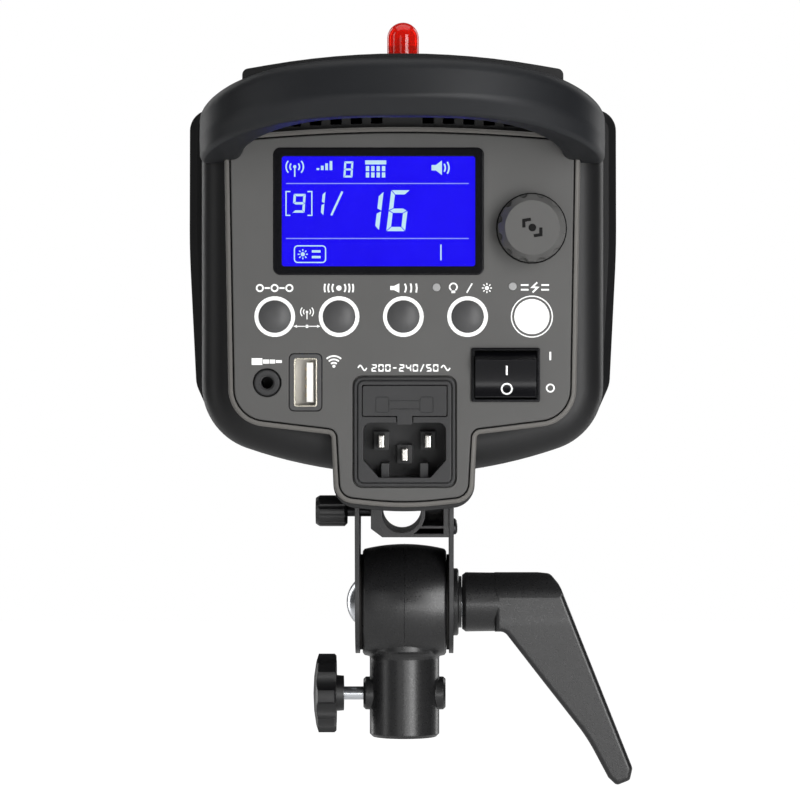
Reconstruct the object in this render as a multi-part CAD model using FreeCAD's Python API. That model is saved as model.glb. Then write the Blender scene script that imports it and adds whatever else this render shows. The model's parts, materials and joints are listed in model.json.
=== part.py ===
"""Monolight studio strobe: one STEP file for each physical piece.

Millimetres, +Z up. The origin is the centre of the stand socket's mouth, on the socket's axis.
The control panel faces -Y, the flash tube faces +Y, and +X is on the right of a person who reads the panel.
"""
import FreeCAD, Part
import math
import os

# ---- Lamp case -------------------------------------------------------------------------------------------
PANEL_Y = -150.0            # outer face of the control panel
CASE_HALF_WIDTH = 60.5
CASE_TOP = 216.0            # crown of the roof, on the centre line
CASE_SHOULDER = 209.3       # roof height where it meets the sides
CASE_BOTTOM = 92.0          # lowest line of the crowned floor
CASE_HIP = 105.4            # floor height where it meets the sides
CASE_TOP_RADIUS = 28.0
CASE_BOTTOM_RADIUS = 20.0
CASE_WALL = 2.5
REAR_EDGE_RADIUS = 9.0
HOUSING_WALL = 2.2
OPTICAL_Z = 153.5           # height of the flash tube's axis

REAR_FACE = 6.0             # distances forward of the panel face
REAR_COVER_END = 40.0
HOUSING_END = 285.0
FRONT_COVER_END = 305.0
RING_END = 330.0
TOP_COVER_HALF = 49.0
TOP_COVER_TOP = 220.2
SIDE_COVER_START = 35.0
SIDE_COVER_END = 270.0

# ---- Control panel ---------------------------------------------------------------------------------------
PANEL_THICKNESS = 2.5
PANEL_GAP = 0.45            # line between the panel and its raised rim
RIM_WIDTH = 1.4
LCD_LEFT, LCD_RIGHT = -38.5, 24.3
LCD_LOW, LCD_HIGH = 151.9, 189.9
LCD_FRAME_SIDE = 2.6
BUTTON_NAMES = ["button_group", "button_cell", "button_buzzer", "button_lamp", "button_test"]
BUTTON_PITCH = 19.15
BUTTON_FIRST_X = -38.0
BUTTON_Z = 139.5
BUTTON_RADIUS = 4.7
BUTTON_GAP = 0.2
DIAL_X, DIAL_Z = 38.5, 165.8
DIAL_RADIUS = 10.15
DIAL_TOP_RADIUS = 8.1
DIAL_HEIGHT = 9.6
DIAL_NOTCHES = 12
SHAFT_RADIUS = 3.0
RUNNING_GAP = 0.05
LIGHT_SPOTS = [(10.2, 148.2), (32.9, 148.5)]
LIGHT_RADIUS = 1.2
SWITCH_X, SWITCH_Z = 30.8, 122.15
SWITCH_WIDTH, SWITCH_HEIGHT = 20.5, 16.1
ROCKER_WIDTH = 18.2
ROCKER_LIP_HALF, ROCKER_SIDE_HALF = 5.8, 7.1    # half heights of the rocker at its lips and at its waist
ROCKER_PIVOT_DEPTH = 1.5
ROCKER_REST_ANGLE = 13.0
JACK_X, JACK_Z = -40.3, 119.8
JACK_BORE_RADIUS = 1.8
USB_X, USB_Z = -28.85, 119.9
USB_WIDTH, USB_HEIGHT = 9.5, 16.8
INLET_X, INLET_Z = 0.7, 105.2
INLET_DEPTH = 27.0
INLET_SEAT = 1.5            # depth of the counterbore that the inlet's flange lies in
RECESS_WIDTH, RECESS_HEIGHT, RECESS_Z = 24.6, 16.4, 99.7
RECESS_DEPTH = 16.0
PIN_SPOTS = [(-7.0, 102.2), (7.0, 102.2), (0.0, 98.2)]
DRAWER_WIDTH, DRAWER_HEIGHT, DRAWER_Z = 25.0, 9.0, 114.4
DRAWER_DEPTH = 24.0
TONGUE_X = 0.5
TONGUE_HALF_WIDTH = 20.8
TONGUE_BOTTOM = 80.9

# ---- Carry handle ----------------------------------------------------------------------------------------
HANDLE_ROOT_X, HANDLE_ROOT_Z = 53.8, 194.2
HANDLE_ROOT_DEPTH = 12.0
HANDLE_RISE = 11.5
HANDLE_BOW = 36.0
HANDLE_SPANS = 12
# Section of the grip: (outward, up, radius) of each corner, at a root and half way along.
HANDLE_ROOT = [(-6.4, 8.0, 3.5), (6.4, 8.0, 5.0), (6.65, -2.6, 8.0), (6.4, -8.0, 1.6), (-6.4, -8.0, 3.5)]
HANDLE_MIDDLE = [(-7.3, 8.5, 4.0), (5.0, 8.5, 4.5), (8.3, -2.8, 1.5), (3.5, -8.5, 3.0), (-7.3, -8.5, 3.5)]

# ---- Yoke, tilt joint and stand socket --------------------------------------------------------------------
TILT_Z = 44.8
SOCKET_RADIUS = 11.6
SOCKET_BORE_RADIUS = 8.1
SOCKET_BORE_DEPTH = 34.0
BARREL_RADIUS = 19.3
BARREL_SHOULDER = 17.7
BARREL_HALF = 13.9
DISC_GAP = 0.1
ARM_INSIDE = 14.8
ARM_THICKNESS = 1.5
ARM_ROUND = 17.1
ARM_TOP_HALF = 21.0
YOKE_PLATE_LOW, YOKE_PLATE_HIGH = 88.6, 90.6
TILT_BOLT_RADIUS = 5.0
LEVER_START = 19.2
LEVER_HUB_RADIUS = 9.9
LOCK_Z = 14.4
LOCK_BOSS_RADIUS = 5.5
LOCK_BOSS_END = 13.7
LOCK_SCREW_RADIUS = 2.2
STAR_RADIUS = 13.1
STAR_LOBES = 8
UMBRELLA_X, UMBRELLA_Z = -0.9, 75.2
UMBRELLA_BORE_RADIUS = 6.4
UMBRELLA_BLOCK_HALF = 20.0
UMBRELLA_SCREW_RADIUS = 1.9
SCREW_RADIUS = 1.9
SMALL_SCREW_RADIUS = 1.25
SCREW_GAP = 0.1
YOKE_SCREW_SPOTS = [(9.0, 14.0), (9.0, -14.0), (-9.0, 14.0), (-9.0, -14.0)]
BLOCK_SCREW_SPOTS = [(-12.0, 70.0), (12.0, 70.0)]

# ---- Front of the lamp and the inside --------------------------------------------------------------------
RING_RADIUS = 70.0
RING_BORE_RADIUS = 57.0
RING_BORE_START = 318.0
BAYONET_SLOTS = 3
BAYONET_SLOT_ANGLE = 22.0
TUBE_RING_RADIUS = 37.5
TUBE_RADIUS = 4.5
TUBE_PLANE = 309.0
FAN_START = 50.0
FAN_SIZE = 80.0
FAN_DEPTH = 25.0
FAN_BLADES = 7
FAN_Z = 148.0
BOARD_Z = 103.0
BOARD_THICKNESS = 1.6

AXIS = {"X": FreeCAD.Vector(1, 0, 0), "Y": FreeCAD.Vector(0, 1, 0), "Z": FreeCAD.Vector(0, 0, 1)}


# ---- Helpers ---------------------------------------------------------------------------------------------
def vec(x, y, z):
    return FreeCAD.Vector(x, y, z)


def back(depth):
    """Y of a place that lies this far forward of the control panel's face."""
    return PANEL_Y + depth


def box(x0, x1, y0, y1, z0, z1):
    return Part.makeBox(x1 - x0, y1 - y0, z1 - z0, vec(x0, y0, z0))


def rod(start, axis, radius, length):
    return Part.makeCylinder(radius, length, vec(*start), AXIS[axis])


def join(first, *others):
    return first.fuse(list(others)).removeSplitter()


def cut(body, *tools):
    return body.cut(list(tools)).removeSplitter()


def mirror_x(shape):
    return shape.mirror(vec(0, 0, 0), AXIS["X"])


def place(axis, level, a, b):
    """Point at a level along an axis, with the two other coordinates in X, Y, Z order."""
    return {"X": vec(level, a, b), "Y": vec(a, level, b), "Z": vec(a, b, level)}[axis]


def rounded_loop(points, radii):
    """Closed loop of straight runs and tangent arcs through corner points, in one plane."""
    edges = []
    ends = []
    for i, radius in enumerate(radii):
        here = points[i]
        backward = (points[i - 1] - here).normalize()
        forward = (points[(i + 1) % len(points)] - here).normalize()
        half = backward.getAngle(forward) / 2
        reach = radius / math.tan(half)
        start, end = here + backward * reach, here + forward * reach
        if radius > 0:
            inward = (backward + forward).normalize()
            middle = here + inward * (radius / math.sin(half) - radius)
            edges.append((i, Part.Arc(start, middle, end).toShape()))
        ends.append((start, end))
    loop = []
    for i in range(len(points)):
        loop += [edge for index, edge in edges if index == i]
        run_start, run_end = ends[i][1], ends[(i + 1) % len(points)][0]
        if run_start.distanceToPoint(run_end) > 1e-6:
            loop.append(Part.LineSegment(run_start, run_end).toShape())
    return Part.Wire(loop)


def rounded_wire(axis, level, corners):
    """Closed outline at a level along an axis. Each corner is (a, b, radius)."""
    points = [place(axis, level, a, b) for a, b, _ in corners]
    return rounded_loop(points, [radius for _, _, radius in corners])


def slab(axis, corners, low, high):
    """Rounded outline made solid between two levels along an axis."""
    return Part.Face(rounded_wire(axis, low, corners)).extrude(AXIS[axis] * (high - low))


def rectangle(a, b, width, height, radius):
    """Corners of a rounded rectangle centred on (a, b)."""
    w, h = width / 2, height / 2
    return [(a - w, b - h, radius), (a + w, b - h, radius), (a + w, b + h, radius), (a - w, b + h, radius)]


def turned(centre, axis, profile):
    """Solid of revolution: profile is a closed list of (distance along the axis, radius)."""
    side = AXIS["Z"] if axis != "Z" else AXIS["X"]
    points = [vec(*centre) + AXIS[axis] * along + side * radius for along, radius in profile]
    face = Part.Face(Part.makePolygon(points + points[:1]))
    return face.revolve(vec(*centre), AXIS[axis], 360)


def turned_front(profile):
    """Solid of revolution about the optical axis, with distances forward of the panel."""
    return turned((0, PANEL_Y, OPTICAL_Z), "Y", profile)


def edges_along(shape, axis):
    """Straight edges that run along an axis."""
    found = []
    for edge in shape.Edges:
        if isinstance(edge.Curve, Part.Line) and abs(edge.Curve.Direction.dot(AXIS[axis])) > 0.999:
            found.append(edge)
    return found


def edges_at(shape, axis, level):
    """Edges that lie in the plane at a level along an axis."""
    index = "XYZ".index(axis)
    return [e for e in shape.Edges if all(abs(v.Point[index] - level) < 1e-4 for v in e.Vertexes)
            and abs(e.CenterOfMass[index] - level) < 1e-4]


# ---- Case --------------------------------------------------------------------------------------------------
def case_prism(inset, start, end):
    """Crowned square case section, drawn in by the inset, between two distances forward of the panel."""
    half = CASE_HALF_WIDTH - inset
    y = back(start)
    roof = Part.Arc(vec(half, y, CASE_SHOULDER - inset), vec(0, y, CASE_TOP - inset),
                    vec(-half, y, CASE_SHOULDER - inset)).toShape()
    left = Part.LineSegment(vec(-half, y, CASE_SHOULDER - inset), vec(-half, y, CASE_HIP + inset)).toShape()
    floor = Part.Arc(vec(-half, y, CASE_HIP + inset), vec(0, y, CASE_BOTTOM + inset),
                     vec(half, y, CASE_HIP + inset)).toShape()
    right = Part.LineSegment(vec(half, y, CASE_HIP + inset), vec(half, y, CASE_SHOULDER - inset)).toShape()
    prism = Part.Face(Part.Wire([roof, left, floor, right])).extrude(AXIS["Y"] * (end - start))
    long_edges = edges_along(prism, "Y")
    top_edges = [e for e in long_edges if e.CenterOfMass.z > OPTICAL_Z]
    bottom_edges = [e for e in long_edges if e.CenterOfMass.z < OPTICAL_Z]
    prism = prism.makeFillet(CASE_TOP_RADIUS - inset, top_edges)
    bottom_edges = [e for e in edges_along(prism, "Y")
                    if any(e.CenterOfMass.distanceToPoint(b.CenterOfMass) < 0.01 for b in bottom_edges)]
    return prism.makeFillet(CASE_BOTTOM_RADIUS - inset, bottom_edges)


def panel_corners():
    """Outline of the control panel: crowned top, notches for the handle ends, tongue for the inlet."""
    right = [(47.0, 192.0, 1.0), (47.9, 188.3, 2.6), (51.2, 186.6, 1.2), (49.9, 109.6, 9.5)]
    left = [(-x, z, radius) for x, z, radius in reversed(right)]
    tongue = [(TONGUE_X + 20.0, 106.0, 3.0), (TONGUE_X + 18.9, 86.0, 4.2), (TONGUE_X, 84.0, 90.0),
              (TONGUE_X - 18.9, 86.0, 4.2), (TONGUE_X - 20.0, 106.0, 3.0)]
    return [(0.0, 195.6, 480.0)] + right + tongue + left


def panel_slab(offset, start, end):
    """The panel outline grown by an offset, between two distances forward of the panel face."""
    wire = rounded_wire("Y", back(start), panel_corners())
    if offset:
        wire = wire.makeOffset2D(offset)
    return Part.Face(wire).extrude(AXIS["Y"] * (end - start))


def tongue_shell(inset, start, end):
    """Housing of the mains inlet under the case. Its crowned bottom rises forward to the floor."""
    half, low, top = TONGUE_HALF_WIDTH - inset, TONGUE_BOTTOM + inset, CASE_BOTTOM + 14
    outline = [(TONGUE_X - half - 1.0, top, 0), (TONGUE_X - half, low + 2.2, 7.0 - inset),
               (TONGUE_X, low, 90.0),
               (TONGUE_X + half, low + 2.2, 7.0 - inset), (TONGUE_X + half + 1.0, top, 0)]
    rise = [(back(start), low - 2, 0), (back(22.0), low - 2, 8.0), (back(end), CASE_BOTTOM + 3, 0),
            (back(end), top, 0), (back(start), top, 0)]
    return slab("Y", outline, back(start), back(end)).common(slab("X", rise, -30, 30))


def vent_slots():
    """Narrow slots under the handle, six on each side of the centre line, in a row that follows the crown."""
    crown_radius = 555.0
    slots = []
    for i in range(6):
        x = 7.7 + 6.1 * i
        z = 200.4 - x ** 2 / (2 * crown_radius)
        slots.append(slab("Y", rectangle(x, z, 3.4, 6.2, 0.4), back(0), back(REAR_FACE + 6)))
    return slots + [mirror_x(slot) for slot in slots]


def rear_forms():
    """Solid outer forms of the rear cover: rounded shell, raised rim and the inlet's tongue."""
    shell = case_prism(0, REAR_FACE, REAR_COVER_END)
    shell = shell.makeFillet(REAR_EDGE_RADIUS, edges_at(shell, "Y", back(REAR_FACE)))
    rim = panel_slab(PANEL_GAP + RIM_WIDTH, 0, REAR_FACE + 8)
    rim = rim.makeFillet(0.8, edges_at(rim, "Y", back(0)))
    return [shell, rim, tongue_shell(0, 1.2, 46.0)]


def rear_cover():
    cavity = case_prism(CASE_WALL, REAR_FACE + CASE_WALL, REAR_COVER_END + 1)
    inner_edges = edges_at(cavity, "Y", back(REAR_FACE + CASE_WALL))
    cavity = cavity.makeFillet(REAR_EDGE_RADIUS - CASE_WALL, inner_edges)
    pocket = panel_slab(PANEL_GAP, -1, PANEL_THICKNESS)
    window = panel_slab(-3.0, -1, REAR_FACE + 9)
    tongue_room = tongue_shell(3.0, PANEL_THICKNESS, 36.0)
    cover = join(*rear_forms()).cut([cavity, pocket, window, tongue_room] + vent_slots())
    front_trim = box(-80, 80, back(REAR_COVER_END), back(60), 60, 240)
    return cut(cover, front_trim)


def side_vents(y0, count):
    """Louvre slots through a side wall, one above the other."""
    return [box(50, 80, y0, y0 + 42, 128 + 7 * i, 131 + 7 * i) for i in range(count)]


def main_housing():
    shell = cut(case_prism(0, REAR_COVER_END, HOUSING_END),
                case_prism(HOUSING_WALL, REAR_COVER_END - 1, HOUSING_END + 1))
    pad = box(-26, 26, -30, 30, YOKE_PLATE_HIGH, CASE_BOTTOM + 4)
    parts = [pad]
    for x in (-40, 40):
        for y in (back(90), back(225)):
            parts.append(rod((x, y, CASE_BOTTOM + 1.2), "Z", 4.0, BOARD_Z - CASE_BOTTOM - 1.2))
    shell = join(shell, *parts)
    below = box(-80, 80, back(REAR_COVER_END), back(HOUSING_END), 60, YOKE_PLATE_HIGH)
    below = below.fuse(cut(box(-80, -30, back(50), back(270), 80, 100), case_prism(0, 50, 270)))
    below = below.fuse(cut(box(30, 80, back(50), back(270), 80, 100), case_prism(0, 50, 270)))
    holes = [rod((x, y, YOKE_PLATE_HIGH - 1), "Z", SCREW_RADIUS + SCREW_GAP, 9) for x, y in YOKE_SCREW_SPOTS]
    vents = side_vents(back(60), 8) + side_vents(back(205), 8)
    holes += vents + [mirror_x(v) for v in vents]
    dome_hole = rod((0, back(45), CASE_TOP - 8), "Z", 4.0, 12)
    return cut(shell, below, dome_hole, *holes)


def side_cover_left():
    """Bulging plastic side panel with two fields of louvres."""
    def section(inset):
        return [(44.0, 106.5 + inset, 0), (58.3 - inset / 2, 107.3 + inset, 5.0), (63.4 - inset, 118.8, 9.0),
                (65.45 - inset, 160.0, 250.0), (65.35 - inset, 202.8 - inset, 6.5 - inset),
                (44.0, 203.8 - inset, 0)]
    start, end = back(SIDE_COVER_START), back(SIDE_COVER_END)
    outside = slab("Y", section(0), start, end)
    inside = slab("Y", section(2.0), start + 4.0, end - 4.0)
    envelope = case_prism(0, SIDE_COVER_START - 1, SIDE_COVER_END + 1)
    ends = [e for level in (start, end) for e in edges_at(outside, "Y", level) if e.CenterOfMass.x > 55]
    outside = outside.makeChamfer(2.4, ends)
    vents = side_vents(back(60), 8) + side_vents(back(205), 8)
    return mirror_x(cut(outside, envelope, inside, *vents))


def side_cover_right():
    return mirror_x(side_cover_left())


def top_cover():
    """Crowned cover on the roof, behind the handle: a thin shell, open below."""
    def section(inset):
        half = TOP_COVER_HALF - inset
        return [(-half, 200.0, 0), (half, 200.0, 0), (half, 215.0 - inset, 2.0),
                (0, TOP_COVER_TOP + 3.3 - inset, 240.0),
                (-half, 215.0 - inset, 2.0)]
    start, end = 30.0, 262.0
    shell = slab("Y", section(0), back(start), back(end))
    hollow = slab("Y", section(2.0), back(start + 2), back(end - 2))
    seat = rod((0, back(45), 200), "Z", 4.0, 40)
    roof = case_prism(0, start - 1, end + 1)
    return cut(shell, hollow, roof, seat)


def slave_dome():
    """Red cap over the optical slave sensor: a tube with a half-round end."""
    base = TOP_COVER_TOP
    y = back(45)
    height = 5.3
    outer = join(rod((0, y, base), "Z", 4.85, height), Part.makeSphere(4.85, vec(0, y, base + height)))
    inner = join(rod((0, y, base - 1), "Z", 3.6, height + 1), Part.makeSphere(3.6, vec(0, y, base + height)))
    upper = box(-10, 10, y - 10, y + 10, base, base + 20)
    return cut(outer.common(upper), inner)


def slave_sensor():
    y = back(45)
    return join(rod((0, y, CASE_TOP - 6), "Z", 3.6, 13.0), Part.makeSphere(2.4, vec(0, y, CASE_TOP + 7.6)))


def front_cover():
    """Plastic nose between the square case and the round ring."""
    square = case_prism(0, HOUSING_END, HOUSING_END + 13)
    square = square.makeFillet(7.0, edges_at(square, "Y", back(HOUSING_END + 13)))
    flare = turned_front([(HOUSING_END + 2, 0), (HOUSING_END + 2, 62.0), (FRONT_COVER_END - 4, 69.0),
                          (FRONT_COVER_END, 69.0), (FRONT_COVER_END, 0)])
    hollow = case_prism(4.0, HOUSING_END - 1, HOUSING_END + 5)
    bore = turned_front([(HOUSING_END, 0), (HOUSING_END, 55.5), (HOUSING_END + 8, 55.5),
                         (HOUSING_END + 8, 63.0), (FRONT_COVER_END + 1, 63.0), (FRONT_COVER_END + 1, 0)])
    slot = box(-75, -55, back(HOUSING_END + 1), back(HOUSING_END + 11), OPTICAL_Z - 5, OPTICAL_Z + 5)
    seat = box(-80, -CASE_HALF_WIDTH + 0.5, back(HOUSING_END + 0.6), back(HOUSING_END + 13),
               OPTICAL_Z - 10, OPTICAL_Z + 10)
    return cut(join(square, flare), hollow, bore, slot, seat)


def mount_ring():
    """Accessory bayonet: a thick ring with three entry slots for an accessory's lugs."""
    ring = turned_front([(FRONT_COVER_END, 61.0), (FRONT_COVER_END, RING_RADIUS),
                         (RING_END - 1.5, RING_RADIUS),
                         (RING_END, RING_RADIUS - 1.5), (RING_END, RING_BORE_RADIUS),
                         (RING_BORE_START, RING_BORE_RADIUS), (RING_BORE_START, 61.0)])
    slots = []
    for i in range(BAYONET_SLOTS):
        slot = turned_slot(90 + 360 * i / BAYONET_SLOTS)
        slots.append(slot)
    screws = [screw_at_angle(30 + 60 * i, SCREW_RADIUS + SCREW_GAP, 66.0, RING_END - 8, RING_END + 1)
              for i in range(6)]
    return cut(ring, *slots, *screws)


def turned_slot(angle):
    """Sector that opens the ring's bore out to the lugs' radius."""
    low, high = math.radians(angle - BAYONET_SLOT_ANGLE / 2), math.radians(angle + BAYONET_SLOT_ANGLE / 2)
    y = back(RING_BORE_START - 1)
    far = 90.0
    points = [vec(0, y, OPTICAL_Z), vec(far * math.cos(low), y, OPTICAL_Z + far * math.sin(low)),
              vec(far * math.cos(high), y, OPTICAL_Z + far * math.sin(high)), vec(0, y, OPTICAL_Z)]
    wedge = Part.Face(Part.makePolygon(points)).extrude(AXIS["Y"] * (RING_END - RING_BORE_START + 2))
    return wedge.common(rod((0, y, OPTICAL_Z), "Y", 61.0, RING_END - RING_BORE_START + 2))


def screw_at_angle(angle, radius, circle, start, end):
    x = circle * math.cos(math.radians(angle))
    z = OPTICAL_Z + circle * math.sin(math.radians(angle))
    return rod((x, back(start), z), "Y", radius, end - start)


def release_slider():
    """Thumb slide on the left of the nose that frees the accessory."""
    y0, y1 = back(HOUSING_END + 3.4), back(HOUSING_END + 12.4)
    x = -CASE_HALF_WIDTH + 0.2
    thumb = box(x - 5.2, x, y0, y1, OPTICAL_Z - 9, OPTICAL_Z + 9)
    thumb = thumb.makeFillet(1.6, edges_at(thumb, "X", x - 5.2))
    grooves = [box(x - 6, x - 4.4, y0 + 2.2 + 2.2 * i, y0 + 3.2 + 2.2 * i, OPTICAL_Z - 7, OPTICAL_Z + 7)
               for i in range(3)]
    stem = box(x, x + 3.2, y0 + 0.6, y0 + 6.6, OPTICAL_Z - 4.5, OPTICAL_Z + 4.5)
    return cut(join(thumb, stem), *grooves)


# ---- Control panel and what sits in it ---------------------------------------------------------------------
def button_x(index):
    return BUTTON_FIRST_X + BUTTON_PITCH * index


def lcd_corners(inset, radius):
    return [(LCD_LEFT + inset, LCD_LOW + inset, radius), (LCD_RIGHT - inset, LCD_LOW + inset, radius),
            (LCD_RIGHT - inset, LCD_HIGH - inset, radius), (LCD_LEFT + inset, LCD_HIGH - inset, radius)]


def control_panel():
    plate = panel_slab(0, 0, PANEL_THICKNESS)
    plate = plate.makeFillet(0.35, edges_at(plate, "Y", back(0)))
    low, high = back(-1), back(PANEL_THICKNESS + 1)
    tools = [slab("Y", lcd_corners(0, 2.2), low, high),
             rod((DIAL_X, low, DIAL_Z), "Y", SHAFT_RADIUS + 0.4, high - low),
             slab("Y", rectangle(SWITCH_X, SWITCH_Z, SWITCH_WIDTH - 0.7, SWITCH_HEIGHT - 0.7, 0.4),
                  low, high),
             rod((JACK_X, low, JACK_Z), "Y", 4.3, high - low),
             slab("Y", rectangle(USB_X, USB_Z, USB_WIDTH + 0.5, USB_HEIGHT + 0.5, 1.6), low, high),
             slab("Y", rectangle(INLET_X, INLET_Z, 31.1, 33.5, 2.9), low, back(INLET_SEAT)),
             slab("Y", rectangle(INLET_X, INLET_Z, 28.7, 31.2, 2.0), low, high)]
    tools += [rod((button_x(i), low, BUTTON_Z), "Y", BUTTON_RADIUS + BUTTON_GAP, high - low)
              for i in range(5)]
    tools += [rod((x, low, z), "Y", LIGHT_RADIUS, high - low) for x, z in LIGHT_SPOTS]
    return cut(plate, *tools)


def lcd_frame():
    frame = slab("Y", lcd_corners(0, 2.2), back(-0.35), back(PANEL_THICKNESS))
    frame = frame.makeFillet(0.3, edges_at(frame, "Y", back(-0.35)))
    return cut(frame, slab("Y", lcd_corners(LCD_FRAME_SIDE, 0.8), back(-1), back(3)))


def lcd_window():
    return slab("Y", lcd_corners(LCD_FRAME_SIDE, 0.8), back(0.1), back(1.1))


def lcd_module():
    """Display glass with its backlight block, held behind the frame."""
    glass = slab("Y", lcd_corners(LCD_FRAME_SIDE, 0.8), back(1.6), back(2.5))
    block = slab("Y", lcd_corners(1.0, 1.0), back(2.5), back(8.0))
    return join(glass, block)


def control_board():
    board = box(-46, 46, back(10.5), back(12.1), 132, 188)
    chip = box(-20, -4, back(12.1), back(14), 160, 176)
    plug = box(20, 40, back(12.1), back(18), 172, 182)
    return join(board, chip, plug)


def button_switches():
    return Part.makeCompound([box(button_x(i) - 3, button_x(i) + 3, back(7.2), back(10.5),
                                  BUTTON_Z - 3, BUTTON_Z + 3) for i in range(5)])


def button(index):
    """Domed cap, retaining flange behind the panel and a stem that meets the switch."""
    x = button_x(index)
    cap = turned((x, PANEL_Y, BUTTON_Z), "Y", [(-0.5, 0), (-0.5, BUTTON_RADIUS),
                 (PANEL_THICKNESS + 0.2, BUTTON_RADIUS),
                 (PANEL_THICKNESS + 0.2, BUTTON_RADIUS + 1.0), (PANEL_THICKNESS + 1.2, BUTTON_RADIUS + 1.0),
                 (PANEL_THICKNESS + 1.2, 1.8), (6.3, 1.8), (6.3, 0)])
    ball_radius = 10.0
    dome = Part.makeSphere(ball_radius, vec(x, back(-1.6) + ball_radius, BUTTON_Z))
    dome = dome.common(rod((x, back(-3), BUTTON_Z), "Y", BUTTON_RADIUS, 3.5))
    return join(cap, dome)


def encoder_body():
    case = box(DIAL_X - 6.5, DIAL_X + 6.5, back(3.2), back(10.5), DIAL_Z - 6.5, DIAL_Z + 6.5)
    neck = rod((DIAL_X, back(-1), DIAL_Z), "Y", SHAFT_RADIUS + RUNNING_GAP, 8)
    chamber = rod((DIAL_X, back(4.6), DIAL_Z), "Y", 5.0, 4.4)
    return cut(case, neck, chamber)


def encoder_plunger():
    """Disc in the encoder that the dial's shaft turns on and presses."""
    return rod((DIAL_X, back(6.6), DIAL_Z), "Y", 4.6, 1.4)


def dial_shaft():
    return rod((DIAL_X, back(-6.0), DIAL_Z), "Y", SHAFT_RADIUS, 12.5)


def dial_knob():
    """Set dial: chamfered edge with twelve short notches, and a dished underside."""
    low = -1.0
    outer = turned((DIAL_X, PANEL_Y, DIAL_Z), "Y",
                   [(low, 0), (low, DIAL_RADIUS - 0.3), (low - 0.5, DIAL_RADIUS), (-6.6, DIAL_RADIUS - 0.2),
                    (-DIAL_HEIGHT, DIAL_TOP_RADIUS), (-DIAL_HEIGHT, 0)])
    notches = []
    for i in range(DIAL_NOTCHES):
        notch = rod((DIAL_X + DIAL_RADIUS + 0.3, back(-DIAL_HEIGHT - 1), DIAL_Z), "Y", 1.35, 8.0)
        notches.append(notch.rotate(vec(DIAL_X, 0, DIAL_Z), AXIS["Y"], 15 + 360 * i / DIAL_NOTCHES))
    shaft_hole = rod((DIAL_X, back(-6.0), DIAL_Z), "Y", SHAFT_RADIUS, 8)
    return cut(outer, shaft_hole, *notches)


def status_light_pipes():
    return Part.makeCompound([rod((x, back(-0.2), z), "Y", LIGHT_RADIUS - 0.02, 5.0) for x, z in LIGHT_SPOTS])


def power_switch_body():
    bezel = slab("Y", rectangle(SWITCH_X, SWITCH_Z, SWITCH_WIDTH, SWITCH_HEIGHT, 0.6), back(-1.0), back(0))
    bezel = bezel.makeFillet(0.3, edges_at(bezel, "Y", back(-1.0)))
    body = slab("Y", rectangle(SWITCH_X, SWITCH_Z, SWITCH_WIDTH - 0.9, SWITCH_HEIGHT - 0.9, 0.4),
                back(0), back(20))
    hole = slab("Y", rectangle(SWITCH_X, SWITCH_Z, ROCKER_WIDTH + 0.4, 14.5, 0.3), back(-2), back(9))
    pivots = [rod((x, back(ROCKER_PIVOT_DEPTH), SWITCH_Z), "X", 1.0, 1.2)
              for x in (SWITCH_X - ROCKER_WIDTH / 2 - 0.6, SWITCH_X + ROCKER_WIDTH / 2 - 0.6)]
    tabs = [box(SWITCH_X + x - 2.4, SWITCH_X + x + 2.4, back(20), back(27),
                SWITCH_Z + z - 0.4, SWITCH_Z + z + 0.4)
            for x in (-5, 5) for z in (-4, 4)]
    return join(cut(join(bezel, body), hole), *pivots, *tabs)


def power_rocker():
    """Two-faced rocker, turned to its off stop: the top lip stands out."""
    y = back(ROCKER_PIVOT_DEPTH)
    lip, waist, side, foot = y - 4.9, y - 3.0, y + 0.4, y + 3.4
    corners = [(lip, SWITCH_Z - ROCKER_LIP_HALF, 0.3), (side, SWITCH_Z - ROCKER_SIDE_HALF, 1.0),
               (foot, SWITCH_Z - 1.5, 1.0), (foot, SWITCH_Z + 1.5, 1.0),
               (side, SWITCH_Z + ROCKER_SIDE_HALF, 1.0), (lip, SWITCH_Z + ROCKER_LIP_HALF, 0.3),
               (waist, SWITCH_Z, 14.0)]
    half = ROCKER_WIDTH / 2
    rocker = slab("X", corners, SWITCH_X - half, SWITCH_X + half)
    bore = rod((SWITCH_X - half - 1, y, SWITCH_Z), "X", 1.0 + RUNNING_GAP, ROCKER_WIDTH + 2)
    rocker = cut(rocker, bore)
    return rocker.rotate(vec(SWITCH_X, y, SWITCH_Z), AXIS["X"], ROCKER_REST_ANGLE)


def inlet_recess(inset, start, end):
    """Six-sided shape of the mains plug, its two lower corners cut away."""
    x, z = RECESS_WIDTH / 2 - inset, RECESS_HEIGHT / 2 - inset
    corners = [(INLET_X - x + 4.6, RECESS_Z - z, 0.6), (INLET_X + x - 4.6, RECESS_Z - z, 0.6),
               (INLET_X + x, RECESS_Z - z + 5.2, 0.6), (INLET_X + x, RECESS_Z + z, 2.3),
               (INLET_X - x, RECESS_Z + z, 2.3), (INLET_X - x, RECESS_Z - z + 5.2, 0.6)]
    return slab("Y", corners, back(start), back(end))


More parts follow.
